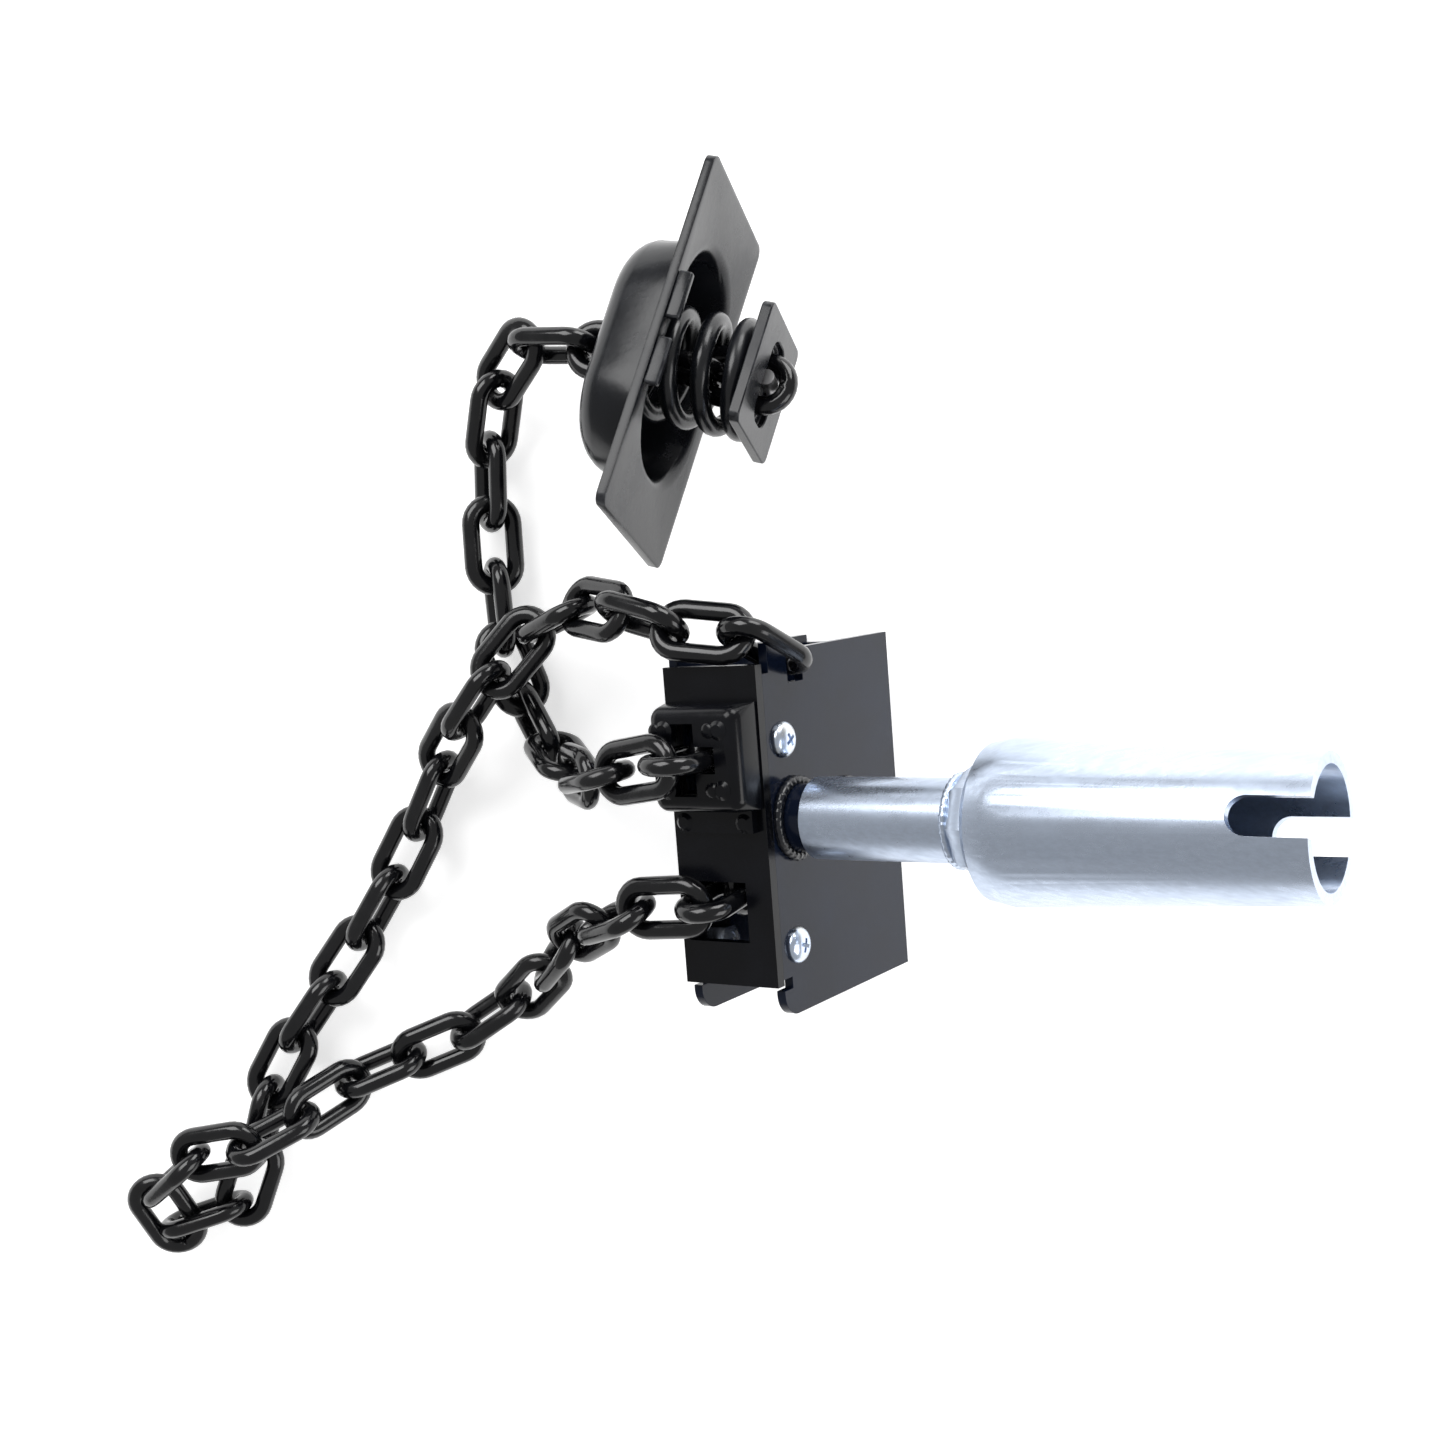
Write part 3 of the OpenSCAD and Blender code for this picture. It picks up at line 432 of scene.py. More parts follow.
def swept(points, radius_at, sides=10):
    """A closed round bead along points, its radius from radius_at(k)"""
    bm = bmesh.new()
    rings = []
    count = len(points)
    side = None
    for k, p in enumerate(points):
        ahead = points[min(k + 1, count - 1)] - points[max(k - 1, 0)]
        ahead.normalize()
        if side is None:
            side = ahead.orthogonal().normalized()
        side = (side - ahead * side.dot(ahead)).normalized()
        up = ahead.cross(side)
        r = radius_at(k)
        rings.append([
            bm.verts.new(p + r * (math.cos(a) * side + math.sin(a) * up))
            for a in (2 * math.pi * j / sides for j in range(sides))
        ])
    for low, high in zip(rings, rings[1:]):
        for j in range(sides):
            bm.faces.new((low[j], low[(j + 1) % sides], high[(j + 1) % sides], high[j]))
    bm.faces.new(list(reversed(rings[0])))
    bm.faces.new(rings[-1])
    bmesh.ops.recalc_face_normals(bm, faces=bm.faces)
    mesh = bpy.data.meshes.new("bead")
    bm.to_mesh(mesh)
    bm.free()
    mesh.shade_smooth()
    return mesh


# ---------- chain places ----------
def square_to(v, d):
    return (v - d * v.dot(d)).normalized()


def next_link(a, heading):
    """The link after a that leads off along heading, hinged in the wire end it can turn about"""
    centre, along, across = a
    d = Vector(heading).normalized()
    n = along.cross(across)
    e = d - along
    if abs(e.dot(across)) > abs(e.dot(n)):
        place = centre + ARC_REACH * along + (0.6 * MM + END_REACH) * d
    else:
        place = centre + (0.6 * MM + END_REACH) * along + ARC_REACH * d
    return (place, d, square_to(n, d))


def backward(a):
    return (a[0], -a[1], a[2])


def tip(a):
    return a[0] + a[1] * STEP / 2


def tail(a):
    return a[0] - a[1] * STEP / 2


def curve_points(route, fine=8):
    """Points of a smooth curve through a route of (x, y, z, roll)"""
    route = [Vector(p) for p in route]
    count = len(route)
    out = []
    for i in range(count - 1):
        a, b, c, d = route[max(i - 1, 0)], route[i], route[i + 1], route[min(i + 2, count - 1)]
        for k in range(fine):
            t = k / fine
            out.append(0.5 * (2 * b + (c - a) * t + (2 * a - 5 * b + 4 * c - d) * t * t
                              + (3 * b - a - 3 * c + d) * t * t * t))
    return out + [route[-1]]


def contacts(route):
    """Contact points a chain step apart along a route, spread so that both ends are met"""
    line = curve_points(route)
    runs = [0.0]
    for a, b in zip(line, line[1:]):
        runs.append(runs[-1] + (b.xyz - a.xyz).length)
    count = round(runs[-1] / (LINK_PITCH - 0.5 * MM))
    out = []
    for k in range(count + 1):
        s = runs[-1] * k / count
        i = next((i for i in range(1, len(line)) if runs[i] >= s), len(line) - 1)
        t = min((s - runs[i - 1]) / max(runs[i] - runs[i - 1], 1e-9), 1)
        out.append(line[i - 1].lerp(line[i], t))
    return out


def across_at(d, roll):
    level = Vector((0, 0, 1)).cross(d).normalized()
    upright = d.cross(level)
    return level * math.cos(math.radians(roll)) + upright * math.sin(math.radians(roll))


def bend_shift(a, b):
    """How far a bend moves the next link"""
    e = b[1] - a[1]
    n = a[1].cross(a[2])
    return (END_REACH - ARC_REACH) / 2 * (e.dot(a[2]) * a[2] - e.dot(n) * n)


def strand(first, last, mid, roll_first, roll_last):
    """The links between two links, along the points in mid"""
    marks = contacts([(*tip(first), roll_first), *mid, (*tail(last), roll_last)])
    raw = []
    for k, (a, b) in enumerate(zip(marks, marks[1:])):
        d = (b.xyz - a.xyz).normalized()
        raw.append(((a.xyz + b.xyz) / 2, d, across_at(d, (a.w + b.w) / 2 + 90 * ((k + 1) % 2))))
    full = [first, *raw, last]
    sums = []
    total = Vector((0, 0, 0))
    for a, b in zip(full, full[1:]):
        total = total + bend_shift(a, b)
        sums.append(total)
    count = len(raw)
    return [
        (centre + sums[k] - sums[count] * (k + 1) / (count + 1), d, w)
        for k, (centre, d, w) in enumerate(raw)
    ]


def chain_places():
    """Every link's centre, direction of travel and width direction, strand by strand"""
    flat_r = (END_REACH * math.cos(math.radians(60)) + ARC_REACH + 0.7 * MM) / math.sin(math.radians(60))
    up_r = flat_r * math.cos(math.radians(60)) + END_REACH * math.sin(math.radians(60)) - 0.2 * MM
    hub = Vector((CHAIN_X, 0, WHEEL_Z))
    x_axis, y_axis, z_axis = (Vector(v) for v in ((1, 0, 0), (0, 1, 0), (0, 0, 1)))

    def spoke(a):
        return Vector((0, math.cos(math.radians(a)), -math.sin(math.radians(a))))

    def travel(a):
        return Vector((0, -math.sin(math.radians(a)), -math.cos(math.radians(a))))

    first_up = (hub + up_r * spoke(WHEEL_TURN), travel(WHEEL_TURN), spoke(WHEEL_TURN))
    last_up = (hub + up_r * spoke(WHEEL_TURN + 120), travel(WHEEL_TURN + 120), spoke(WHEEL_TURN + 120))
    lift = (END_REACH - 0.7 * MM) * z_axis
    in_end = first_up[0] - travel(WHEEL_TURN) * ARC_REACH + lift
    out_end = last_up[0] + travel(WHEEL_TURN + 120) * ARC_REACH + lift
    low_dir = Vector((0, -math.sin(math.radians(LOW_LEAN)), math.cos(math.radians(LOW_LEAN))))
    low_up = (out_end + END_REACH * z_axis + low_dir * (0.7 * MM + ARC_REACH), low_dir, low_dir.cross(x_axis))
    guide = (in_end + 2 * STEP * z_axis, -z_axis, x_axis)
    slot = (low_up[0] + low_dir * STEP, low_dir, x_axis)
    flat = (hub + flat_r * spoke(WHEEL_TURN + 60), travel(WHEEL_TURN + 60), x_axis)
    wrapped = [
        guide, (in_end + STEP * z_axis, -z_axis, y_axis), (in_end, -z_axis, x_axis), first_up, flat, last_up,
        (out_end, z_axis, x_axis), low_up, slot,
    ]
    turn = HOIST.to_3x3()
    wrapped = [tuple(turn @ v for v in place) for place in wrapped]
    hook_dir = Vector((-0.25, 0.5, 0.83)).normalized()
    hook_end = Vector((14.5, 40, 52.2)) * MM
    hook = tuple(turn @ v for v in (
        hook_end + hook_dir * LINK_PITCH / 2, hook_dir, square_to(x_axis, hook_dir)))
    ret_turn = RETAINER.to_3x3()
    ends = [
        (RETAINER @ Vector((0, 0, RET_PIN_Z + RET_PIN_R + 0.1 * MM - LINK_PITCH / 2 - k * STEP)),
         ret_turn @ -z_axis, ret_turn @ (x_axis if k % 2 == 0 else y_axis))
        for k in range(3)
    ]
    work_first = next_link(backward(wrapped[0]), (-0.76, -0.15, -0.63))
    work_last = backward(next_link(ends[-1], (-0.88, 0.1, -0.46)))
    slack_first = next_link(hook, (-0.938, 0.138, -0.316))
    slack_last = backward(next_link(wrapped[-1], (-0.85, -0.05, -0.42)))
    working = [work_first, *strand(work_first, work_last, WORK_MID, 10, -18), work_last]
    slack = [slack_first, *strand(slack_first, slack_last, SLACK_MID, 30, 6), slack_last]
    return wrapped, [hook], working, slack, ends


# ---------- Geometry Nodes ----------
def geometry_tree(name, inputs):
    tree = bpy.data.node_groups.new(name, "GeometryNodeTree")
    tree.interface.new_socket("Geometry", in_out="INPUT", socket_type="NodeSocketGeometry")
    for label, kind, value in inputs:
        socket = tree.interface.new_socket(label, in_out="INPUT", socket_type=kind)
        if value is not None:
            socket.default_value = value
    tree.interface.new_socket("Geometry", in_out="OUTPUT", socket_type="NodeSocketGeometry")
    return tree, tree.nodes.new("NodeGroupInput"), tree.nodes.new("NodeGroupOutput")


def close_tree(tree, start, end, shape):
    """Puts shape on every point, turned by the point's own turn, then makes it real with its material"""
    turn = tree.nodes.new("GeometryNodeInputNamedAttribute")
    turn.data_type = "FLOAT_VECTOR"
    turn.inputs["Name"].default_value = "turn"
    place = tree.nodes.new("GeometryNodeInstanceOnPoints")
    real = tree.nodes.new("GeometryNodeRealizeInstances")
    coat = tree.nodes.new("GeometryNodeSetMaterial")
    link(tree, start.outputs["Geometry"], place.inputs["Points"])
    link(tree, shape, place.inputs["Instance"])
    link(tree, turn.outputs["Attribute"], place.inputs["Rotation"])
    link(tree, place.outputs["Instances"], real.inputs["Geometry"])
    link(tree, real.outputs["Geometry"], coat.inputs["Geometry"])
    link(tree, start.outputs["Material"], coat.inputs["Material"])
    link(tree, coat.outputs["Geometry"], end.inputs["Geometry"])


def link_tree():
    """Chain links from their named sizes, one on each point"""
    tree, start, end = geometry_tree("Chain Links", [
        ("Loop Length", "NodeSocketFloat", LINK_PITCH + LINK_WIRE),
        ("Loop Width", "NodeSocketFloat", LINK_WIDTH - LINK_WIRE),
        ("End Radius", "NodeSocketFloat", (LINK_WIDTH - LINK_WIRE) / 2 * 0.999),
        ("Wire Radius", "NodeSocketFloat", LINK_WIRE / 2),
        ("Wire Sides", "NodeSocketInt", 14),
        ("Material", "NodeSocketMaterial", None),
    ])
    loop = tree.nodes.new("GeometryNodeCurvePrimitiveQuadrilateral")
    link(tree, start.outputs["Loop Length"], loop.inputs["Width"])
    link(tree, start.outputs["Loop Width"], loop.inputs["Height"])
    ends = tree.nodes.new("GeometryNodeFilletCurve")
    ends.mode = "POLY"
    ends.inputs["Count"].default_value = 7
    link(tree, loop.outputs["Curve"], ends.inputs["Curve"])
    link(tree, start.outputs["End Radius"], ends.inputs["Radius"])
    wire = tree.nodes.new("GeometryNodeCurvePrimitiveCircle")
    link(tree, start.outputs["Wire Sides"], wire.inputs["Resolution"])
    link(tree, start.outputs["Wire Radius"], wire.inputs["Radius"])
    sweep = tree.nodes.new("GeometryNodeCurveToMesh")
    link(tree, ends.outputs["Curve"], sweep.inputs["Curve"])
    link(tree, wire.outputs["Curve"], sweep.inputs["Profile Curve"])
    soft = tree.nodes.new("GeometryNodeSetShadeSmooth")
    link(tree, sweep.outputs["Mesh"], soft.inputs["Geometry"])
    close_tree(tree, start, end, soft.outputs["Geometry"])
    return tree


def stud_tree():
    """A head shape on each point, such as a screw or a rivet, at a named size"""
    tree, start, end = geometry_tree("Studs", [
        ("Head", "NodeSocketObject", None),
        ("Size", "NodeSocketFloat", 1.0),
        ("Material", "NodeSocketMaterial", None),
    ])
    head = tree.nodes.new("GeometryNodeObjectInfo")
    link(tree, start.outputs["Head"], head.inputs["Object"])
    scale = tree.nodes.new("GeometryNodeTransform")
    spread = tree.nodes.new("ShaderNodeCombineXYZ")
    for axis in "XYZ":
        link(tree, start.outputs["Size"], spread.inputs[axis])
    link(tree, head.outputs["Geometry"], scale.inputs["Geometry"])
    link(tree, spread.outputs["Vector"], scale.inputs["Scale"])
    close_tree(tree, start, end, scale.outputs["Geometry"])
    return tree


def points_mesh(name, places):
    """A mesh of points, each with the turn of its (centre, x axis, y axis)"""
    mesh = bpy.data.meshes.new(name)
    mesh.from_pydata([p[0] for p in places], [], [])
    turns = []
    for _, d, w in places:
        matrix = Matrix((d, w, d.cross(w))).transposed()
        turns.extend(matrix.to_euler("XYZ"))
    attribute = mesh.attributes.new("turn", "FLOAT_VECTOR", "POINT")
    attribute.data.foreach_set("vector", turns)
    return mesh


def scattered(name, places, tree, material, body, values):
    """One plain mesh of a tree's shape on every place; values go in the modifier by socket identifier"""
    obj = bpy.data.objects.new(name, points_mesh(name, places))
    bpy.context.scene.collection.objects.link(obj)
    modifier = obj.modifiers.new("Places", "NODES")
    modifier.node_group = tree
    settings = {**values, "Material": bpy.data.materials[material]}
    for item in tree.interface.items_tree:
        if item.in_out == "INPUT" and item.name in settings:
            modifier[item.identifier] = settings[item.name]
    mesh = applied(obj)
    mesh.name = name
    if not mesh.vertices:
        raise RuntimeError(name + " came out empty")
    paint_over(obj, material)
    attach(obj, body)
    return obj


# ---------- operators ----------
class HOIST_OT_camera(bpy.types.Operator):
    """Sets the camera that looks down on the hoist from the front"""

    bl_idname = "hoist.camera"
    bl_label = "Camera"

    def execute(self, context):
        data = bpy.data.cameras.new("Camera")
        data.sensor_fit = "HORIZONTAL"
        data.sensor_width = 36
        data.lens = sizes().focal
        data.clip_start = 0.01
        data.clip_end = 20
        camera = bpy.data.objects.new("Camera", data)
        context.scene.collection.objects.link(camera)
        right = Vector((0.9968, -0.0760, -0.0243)).normalized()
        back = Vector((0.0317, 0.0989, 0.9946)).normalized()
        up = back.cross(right).normalized()
        right = up.cross(back).normalized()
        turn = Matrix((right, up, back)).transposed().to_4x4()
        camera.matrix_world = Matrix.Translation(Vector((-17.4, 76.0, 559.5)) * MM) @ turn
        context.scene.camera = camera
        return {"FINISHED"}


class HOIST_OT_chain(bpy.types.Operator):
    """Builds every chain link: on the wheel, in both strands, on the tab and in the retainer"""

    bl_idname = "hoist.chain"
    bl_label = "Chain"

    def execute(self, context):
        tree = link_tree()
        values = {"Wire Sides": sizes().wire_sides}
        wrapped, hook, working, slack, ends = chain_places()
        for name, places, node, body in (
                ("links_on_wheel", wrapped, "chain_wrapped", "housing"),
                ("link_on_tab", hook, "anchor_link", "housing"),
                ("links_working", working, "chain_working", "housing"),
                ("links_slack", slack, "chain_slack", "housing"),
                ("links_in_retainer", ends, "end_links", "retainer_end")):
            obj = scattered(name, places, tree, "Oiled Chain", body, values)
            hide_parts(node)
        return {"FINISHED"}


class HOIST_OT_housing(bpy.types.Operator):
    """Rounds and paints the side plates, back wall, cover and chain guide"""

    bl_idname = "hoist.housing"
    bl_label = "Housing"

    def execute(self, context):
        bevel = sizes().bevel
        for node, name, material, width in (
                ("right_plate", "right_plate_painted", "Housing Paint With Painted Sheen", bevel),
                ("left_plate", "left_plate_painted", "Housing Paint With Painted Sheen", bevel),
                ("back_wall", "back_wall_painted", "Housing Paint With Painted Sheen", bevel),
                ("front_cover", "front_cover_painted", "Cover Paint", bevel),
                ("chain_guide", "chain_guide_painted", "Cover Paint", 0.3 * MM),
                ("shaft_boss", "shaft_boss_painted", "Housing Paint With Painted Sheen", bevel),
                ("mount_nuts", "mount_nuts_chamfered", "Steel Bare", 0.3 * MM)):
            obj = eased_copy(node, name, material, "housing", width)
        return {"FINISHED"}


class HOIST_OT_welds(bpy.types.Operator):
    """Lays rippled weld beads round the boss and the socket's collar"""

    bl_idname = "hoist.welds"
    bl_label = "Weld beads"

    def execute(self, context):
        ripples = sizes().weld_ripples
        bead = sizes().weld_bead

        def ring(name, x, radius, r, count, material, body, spread):
            steps = count * 6
            line = []
            for k in range(steps + 1):
                a = 2 * math.pi * k / steps
                wander = spread * noise.noise(Vector((math.cos(a) * 1.7, math.sin(a) * 1.7, x * 90)))
                out = radius + wander
                line.append(HOIST @ Vector((x + 0.4 * wander, out * math.cos(a), DRIVE_Z + out * math.sin(a))))

            def radius_at(k):
                t = (k % 6) / 6
                return r * (0.80 + 0.20 * (1 - t) + 0.06 * noise.noise(Vector((k * 0.31, radius * 400, 0))))

            return new_piece(name, swept(line, radius_at, 9), material, body)

        bead_ring = ring(
            "boss_weld_bead", HOUSE_W / 2 + 0.55 * bead, BOSS_R + 0.55 * bead, bead, ripples, "Weld Black",
            "housing", 0.5 * MM)
        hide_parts("boss_weld")
        tube_ring = ring(
            "collar_weld_bead", SOCKET_X - 6.2 * MM, TUBE_R + 0.5 * MM, 1.1 * MM, 34, "Zinc Bright",
            "crank_drive", 0.3 * MM)
        return {"FINISHED"}


def join_rings(bm, rings, spokes):
    """Faces between rings of spokes points; a ring of one point is a pole"""
    for low, high in zip(rings, rings[1:]):
        for j in range(spokes):
            k = (j + 1) % spokes
            around = (low[j % len(low)], low[k % len(low)], high[k % len(high)], high[j % len(high)])
            bm.faces.new(list(dict.fromkeys(around)))


def pan_head():
    """A pan-head screw with a cross recess, its head up from the origin"""
    bm = bmesh.new()
    profile = [
        (0.0, 2.55), (1.4, 2.5), (2.6, 2.28), (3.6, 1.85), (4.3, 1.25), (4.65, 0.7), (4.7, 0.35), (4.7, 0.0),
        (2.4, 0.0), (2.4, -7.5), (0.0, -7.5),
    ]
    spokes = 32
    rings = []
    for r, z in profile:
        if r == 0:
            rings.append([bm.verts.new((0, 0, z * MM))])
        else:
            rings.append([
                bm.verts.new((r * MM * math.cos(a), r * MM * math.sin(a), z * MM))
                for a in (2 * math.pi * j / spokes for j in range(spokes))
            ])
    join_rings(bm, rings, spokes)
    bmesh.ops.recalc_face_normals(bm, faces=bm.faces)
    mesh = bpy.data.meshes.new("pan_head")
    bm.to_mesh(mesh)
    bm.free()
    head = bpy.data.objects.new("pan_head", mesh)
    bpy.context.scene.collection.objects.link(head)
    cutters = []
    for turn in (0, 90):
        bm = bmesh.new()
        bmesh.ops.create_cube(bm, size=1)
        for v in bm.verts:
            long_taper, wide_taper = (1.0, 1.0) if v.co.z > 0 else (0.45, 0.6)
            v.co = Vector((
                v.co.x * 5.0 * MM * long_taper, v.co.y * 1.15 * MM * wide_taper, v.co.z * 2.6 * MM + 2.3 * MM))
        around = Matrix.Rotation(math.radians(turn), 3, "Z")
        bmesh.ops.rotate(bm, verts=bm.verts, cent=(0, 0, 0), matrix=around)
        cutter_mesh = bpy.data.meshes.new("recess")
        bm.to_mesh(cutter_mesh)
        bm.free()
        cutter = bpy.data.objects.new("recess", cutter_mesh)
        bpy.context.scene.collection.objects.link(cutter)
        cutters.append(cutter)
        cut = head.modifiers.new("Recess", "BOOLEAN")
        cut.operation = "DIFFERENCE"
        cut.object = cutter
        cut.solver = "EXACT"
    mesh = applied(head)
    smooth(mesh, 32)
    for cutter in cutters:
        bpy.data.objects.remove(cutter)
    return head


def rivet_head(radius, height):
    """A low domed rivet head, up from the origin"""
    bm = bmesh.new()
    rings = [[bm.verts.new((0, 0, height))]]
    spokes = 20
    for k in range(1, 6):
        a = math.pi / 2 * k / 5
        out = radius * math.sin(a)
        rings.append([
            bm.verts.new((out * math.cos(b), out * math.sin(b), height * math.cos(a)))
            for b in (2 * math.pi * j / spokes for j in range(spokes))
        ])
    join_rings(bm, rings, spokes)
    bm.faces.new(rings[-1])
    bmesh.ops.recalc_face_normals(bm, faces=bm.faces)
    mesh = bpy.data.meshes.new("rivet_head")
    bm.to_mesh(mesh)
    bm.free()
    smooth(mesh, 50)
    head = bpy.data.objects.new("rivet_head", mesh)
    bpy.context.scene.collection.objects.link(head)
    return head


class HOIST_OT_fasteners(bpy.types.Operator):
    """Sets the cross-recess screws in the side plates and the rivet heads on the guide"""

    bl_idname = "hoist.fasteners"
    bl_label = "Screws and rivets"

    def execute(self, context):
        tree = stud_tree()
        turn = HOIST.to_3x3()
        head = pan_head()
        places = []
        sides = ((1, ((20.5, 57.5), (-32.5, 57.5)), 30), (-1, ((33, 57.5), (-32.5, 57.5)), 15))
        for side, rows, spin in sides:
            for k, (y, z) in enumerate(rows):
                out = Vector((side, 0, 0))
                a = math.radians(spin + 41 * k)
                x_axis = Vector((0, math.cos(a), math.sin(a)))
                y_axis = out.cross(x_axis)
                centre = Vector((side * HOUSE_W / 2, y * MM, z * MM))
                places.append(tuple(turn @ v for v in (centre, x_axis, y_axis)))
        screws = scattered(
            "housing_screws_plated", places, tree, "Zinc Screw", "housing", {"Head": head, "Size": 1.0})
        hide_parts("housing_screws")
        bpy.data.objects.remove(head)
        dome = rivet_head(2.0 * MM, 0.8 * MM)
        front = GUIDE_H + FRONT_Z
        guide_y = 17.95 * MM
        spots = [(CHAIN_X + x * 8 * MM, guide_y + y * 7.5 * MM, front) for x in (-1, 1) for y in (-1, 1)]
        lip = [(x * 9 * MM, guide_y - GUIDE_W / 2 - 3.5 * MM, FRONT_Z + GUIDE_T) for x in (-1, 1)]
        for name, group in (("guide_rivet_domes", spots), ("lip_rivet_domes", lip)):
            set_in = [tuple(turn @ Vector(v) for v in (p, (1, 0, 0), (0, 1, 0))) for p in group]
            domes = scattered(name, set_in, tree, "Cover Paint", "housing", {"Head": dome, "Size": 1.0})
        bpy.data.objects.remove(dome)
        return {"FINISHED"}


class HOIST_OT_crank(bpy.types.Operator):
    """Rounds and plates the drive tube, crank socket and collar"""

    bl_idname = "hoist.crank"
    bl_label = "Crank drive"

    def execute(self, context):
        for node, name, width in (
                ("drive_tube", "drive_tube_plated", 0.4 * MM),
                ("socket_tube", "socket_tube_plated", 0.6 * MM),
                ("socket_collar", "socket_collar_plated", 0.5 * MM)):
            obj = eased_copy(node, name, "Zinc Bright", "crank_drive", width, 3)
        return {"FINISHED"}


def rounded_loop(length, width, corner, z, count=12, straight=8):
    """Points of a rounded rectangle, with count points in each corner and straight points on each side"""
    corners = []
    for sx, sy, start in ((1, 1, 0), (-1, 1, 90), (-1, -1, 180), (1, -1, 270)):
        cx = sx * (length / 2 - corner)
        cy = sy * (width / 2 - corner)
        arc = (math.radians(start + 90 * k / (count - 1)) for k in range(count))
        corners.append([Vector((cx + corner * math.cos(a), cy + corner * math.sin(a), z)) for a in arc])
    out = []
    for arc, after in zip(corners, corners[1:] + corners[:1]):
        out.extend(arc)
        out.extend(arc[-1].lerp(after[0], k / (straight + 1)) for k in range(1, straight + 1))
    return out


class HOIST_OT_retainer(bpy.types.Operator):
    """Presses the retainer plate's dish, winds its spring and rounds its end plate"""

    bl_idname = "hoist.retainer"
    bl_label = "Wheel retainer"

    def press_plate(self):
        """The top skin as loops from the plate's edge over the dish's lip, wall and floor to the hole"""
        bm = bmesh.new()
        mm = MM
        inner_l = DISH_L - 2 * DISH_T
        inner_w = DISH_W - 2 * DISH_T
        loops = [rounded_loop(PLATE_L, PLATE_W, 3 * mm, 0)]
        loops.append(rounded_loop(PLATE_L - 2 * mm, PLATE_W - 2 * mm, 2.5 * mm, 0))
        lip = 2.2 * mm
        for k in range(5):
            a = math.radians(90 * k / 4)
            grow = 2 * lip * (1 - math.sin(a))
            loops.append(rounded_loop(
                min(inner_l + grow, PLATE_L - 3 * mm), min(inner_w + grow, PLATE_W - 3 * mm), 19.4 * mm,
                -lip * (1 - math.cos(a))))
        foot = 6 * mm
        floor_z = -DISH_H
        for k in range(1, 7):
            a = math.radians(90 * k / 6)
            shrink = 2 * foot * (1 - math.cos(a))
            loops.append(rounded_loop(
                inner_l - 2 * mm - shrink, inner_w - 2 * mm - shrink,
                max(18.4 * mm - foot * (1 - math.cos(a)), 5 * mm), floor_z + foot - foot * math.sin(a)))
        count = len(loops[0])
        floor_edge = loops[-1]
        for k in range(1, 5):
            hole = HOLE_R + (4 - k) * 1.6 * mm
            ring = []
            for p in floor_edge:
                a = math.atan2(p.y, p.x)
                ring.append(Vector((hole * math.cos(a), hole * math.sin(a), floor_z)))
            loops.append(ring)
        rings = [[bm.verts.new(p) for p in loop] for loop in loops]
        for outer, inner in zip(rings, rings[1:]):
            for j in range(count):
                k = (j + 1) % count
                bm.faces.new((outer[j], outer[k], inner[k], inner[j]))
        bmesh.ops.remove_doubles(bm, verts=bm.verts, dist=0.02 * mm)
        bmesh.ops.recalc_face_normals(bm, faces=bm.faces)
        if sum(f.normal.z for f in bm.faces) < 0:
            bmesh.ops.reverse_faces(bm, faces=bm.faces)
        mesh = bpy.data.meshes.new("retainer_plate_pressed")
        bm.to_mesh(mesh)
        bm.free()
        mesh.transform(RETAINER)
        obj = bpy.data.objects.new("retainer_plate_pressed", mesh)
        bpy.context.scene.collection.objects.link(obj)
        wall = obj.modifiers.new("Sheet", "SOLIDIFY")
        wall.thickness = DISH_T
        wall.offset = -1
        wall.use_even_offset = False
        rounding = obj.modifiers.new("Rounding", "BEVEL")
        rounding.width = 0.5 * mm
        rounding.segments = 2
        rounding.limit_method = "ANGLE"
        rounding.angle_limit = math.radians(50)
        plain = applied(obj)
        mark_edges(plain, 0.45 * mm)
        smooth(plain, 38)
        paint_over(obj, "Retainer Paint")
        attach(obj, "retainer_cup")
        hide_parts("retainer_plate")

    def fold_upstands(self):
        """The two short folds on the plate's long edge"""
        bm = bmesh.new()
        for side in (-1, 1):
            cube = bmesh.ops.create_cube(bm, size=1)["verts"]
            for v in cube:
                v.co = Vector((
                    side * 9 * MM + v.co.x * 12.8 * MM, PLATE_W / 2 - DISH_T / 2 + v.co.y * 2.3 * MM,
                    1.95 * MM + v.co.z * 3.9 * MM))
        mesh = bpy.data.meshes.new("retainer_upstands")
        bm.to_mesh(mesh)
        bm.free()
        mesh.transform(RETAINER)
        obj = bpy.data.objects.new("retainer_upstands", mesh)
        bpy.context.scene.collection.objects.link(obj)
        rounding = obj.modifiers.new("Rounding", "BEVEL")
        rounding.width = 0.7 * MM
        rounding.segments = 3
        plain = applied(obj)
        mark_edges(plain, 0.4 * MM)
        smooth(plain, 40)
        paint_over(obj, "Retainer Paint")
        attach(obj, "retainer_cup")

    def wind_spring(self):
        steps = 36
        total = SPRING_TURNS * steps
        rad = (SPRING_OD - SPRING_WIRE) / 2
        low = -DISH_H + SPRING_WIRE / 2
        high = END_GAP - SPRING_WIRE / 2 - 0.05 * MM
        line = []
        for i in range(total + 1):
            t = i / steps
            u = min(max((t - 0.7) / (SPRING_TURNS - 1.4), 0), 1)
            a = 2 * math.pi * t
            z = low + (high - low) * u * 0.9 + SPRING_WIRE * 0.7 * i / total
            line.append(RETAINER @ Vector((rad * math.cos(a), rad * math.sin(a), z)))
        mesh = swept(line, lambda k: SPRING_WIRE / 2 - 0.01 * MM, 16)
        mesh.set_sharp_from_angle(angle=math.radians(60))
        obj = new_piece("spring_wound", mesh, "Spring Black", "retainer_end")
        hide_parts("retainer_spring")
        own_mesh(obj)

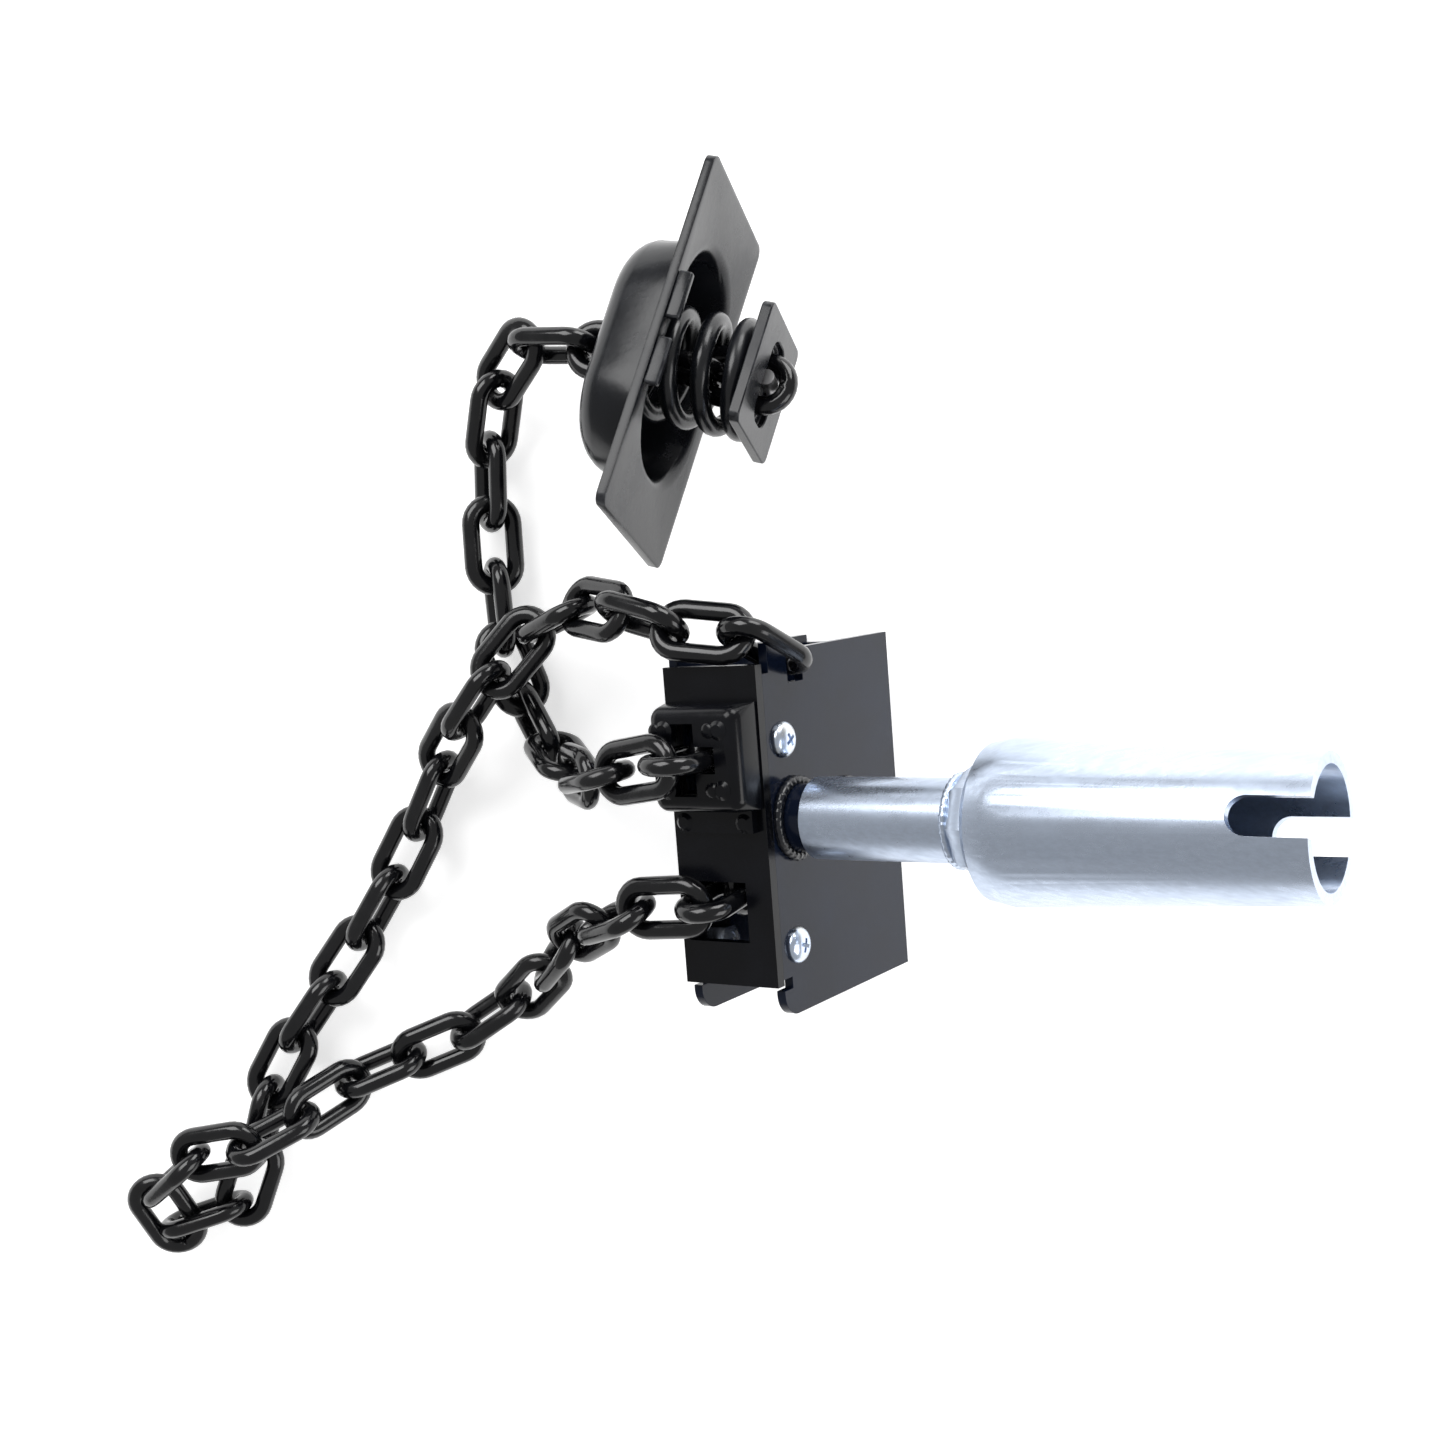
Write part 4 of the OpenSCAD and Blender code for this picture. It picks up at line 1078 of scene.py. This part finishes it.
    def execute(self, context):
        self.press_plate()
        self.fold_upstands()
        self.wind_spring()
        plate = eased_copy("end_plate", "end_plate_painted", "Retainer Paint", "retainer_end", 0.45 * MM, 3)
        return {"FINISHED"}


class HOIST_OT_mechanism(bpy.types.Operator):
    """Gives the gears, wheel, shafts, bushes and clips their finishes"""

    bl_idname = "hoist.mechanism"
    bl_label = "Mechanism"

    def execute(self, context):
        finishes = {
            "guide_insert": "Steel Dark", "guide_rivets": "Cover Paint", "lip_rivets": "Cover Paint",
            "cover_nuts": "Zinc Screw", "right_bush": "Bush Bronze", "left_bush": "Bush Bronze",
            "wheel_axle": "Steel Bare", "axle_clips": "Steel Dark", "pinion_shaft": "Steel Bare",
            "shaft_clip": "Steel Dark", "friction_disc": "Friction Lining", "disc_spring": "Steel Bare",
            "tube_plug": "Steel Bare", "chain_wheel": "Steel Bare", "wheel_gear": "Steel Bare",
            "wheel_washers": "Bush Bronze", "end_pin": "Steel Bare",
        }
        for node, material in finishes.items():
            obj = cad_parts[node]
            for slot in obj.material_slots:
                slot.material = bpy.data.materials[material]
        return {"FINISHED"}


class HOIST_OT_stage(bpy.types.Operator):
    """Lays the pale floor and hangs the soft lights"""

    bl_idname = "hoist.stage"
    bl_label = "Floor and lights"

    def execute(self, context):
        floor_z = cad_box[0][2]
        mesh = bpy.data.meshes.new("floor")
        half = 12
        corners = [(-half, -half, floor_z), (half, -half, floor_z), (half, half, floor_z), (-half, half, floor_z)]
        mesh.from_pydata(corners, [], [(0, 1, 2, 3)])
        floor = bpy.data.objects.new("floor", mesh)
        context.scene.collection.objects.link(floor)
        mat = bpy.data.materials.new("Floor White")
        mat.use_nodes = True
        shader = mat.node_tree.nodes["Principled BSDF"]
        shader.inputs["Base Color"].default_value = (0.9, 0.9, 0.9, 1)
        shader.inputs["Roughness"].default_value = 0.9
        shader.inputs["Specular IOR Level"].default_value = 0.1
        shader.inputs["Emission Color"].default_value = (1, 1, 1, 1)
        shader.inputs["Emission Strength"].default_value = 0.58
        mesh.materials.append(mat)
        context.scene.view_settings.view_transform = "Standard"
        world = bpy.data.worlds.new("Studio")
        context.scene.world = world
        world.use_nodes = True
        sky = world.node_tree.nodes["Background"]
        sky.inputs["Color"].default_value = (1, 1, 1, 1)
        sky.inputs["Strength"].default_value = 0.42
        for name, place, aim, size, watts in (
                ("Key", (-0.55, 0.75, 0.75), (0, 0, 0), 0.7, 9),
                ("Fill", (0.75, -0.35, 0.65), (0, 0, 0.02), 0.6, 4),
                ("Back", (0.35, 0.85, 0.35), (0, 0, 0.02), 0.5, 5)):
            data = bpy.data.lights.new(name, "AREA")
            data.energy = watts
            data.size = size
            lamp = bpy.data.objects.new(name, data)
            context.scene.collection.objects.link(lamp)
            lamp.location = place
            lamp.rotation_euler = (Vector(place) - Vector(aim)).to_track_quat("Z", "Y").to_euler()
        return {"FINISHED"}


class HOIST_PT_panel(bpy.types.Panel):
    """Lists the hoist's pieces in the order that they are built"""

    bl_idname = "HOIST_PT_panel"
    bl_label = "Spare Wheel Chain Hoist"
    bl_space_type = "VIEW_3D"
    bl_region_type = "UI"
    bl_category = "Hoist"

    def draw(self, context):
        column = self.layout.column()
        for step in STEPS:
            column.operator(step.bl_idname)
        for group in (context.scene.hoist_sizes, context.scene.hoist_colours):
            for label in group.__annotations__:
                column.prop(group, label)


STEPS = (
    HOIST_OT_camera, HOIST_OT_chain, HOIST_OT_housing, HOIST_OT_welds, HOIST_OT_fasteners, HOIST_OT_crank,
    HOIST_OT_retainer, HOIST_OT_mechanism, HOIST_OT_stage,
)
CLASSES = (HoistSizes, HoistColours, *STEPS, HOIST_PT_panel)


def register():
    for cls in CLASSES:
        bpy.utils.register_class(cls)
    bpy.types.Scene.hoist_sizes = bpy.props.PointerProperty(type=HoistSizes)
    bpy.types.Scene.hoist_colours = bpy.props.PointerProperty(type=HoistColours)


def unregister():
    del bpy.types.Scene.hoist_colours
    del bpy.types.Scene.hoist_sizes
    for cls in reversed(CLASSES):
        bpy.utils.unregister_class(cls)


def main():
    register()
    make_groups()
    make_finishes()
    bpy.ops.hoist.camera()
    bpy.ops.hoist.chain()
    bpy.ops.hoist.housing()
    bpy.ops.hoist.welds()
    bpy.ops.hoist.fasteners()
    bpy.ops.hoist.crank()
    bpy.ops.hoist.retainer()
    bpy.ops.hoist.mechanism()
    bpy.ops.hoist.stage()


if __name__ == "__main__":
    main()
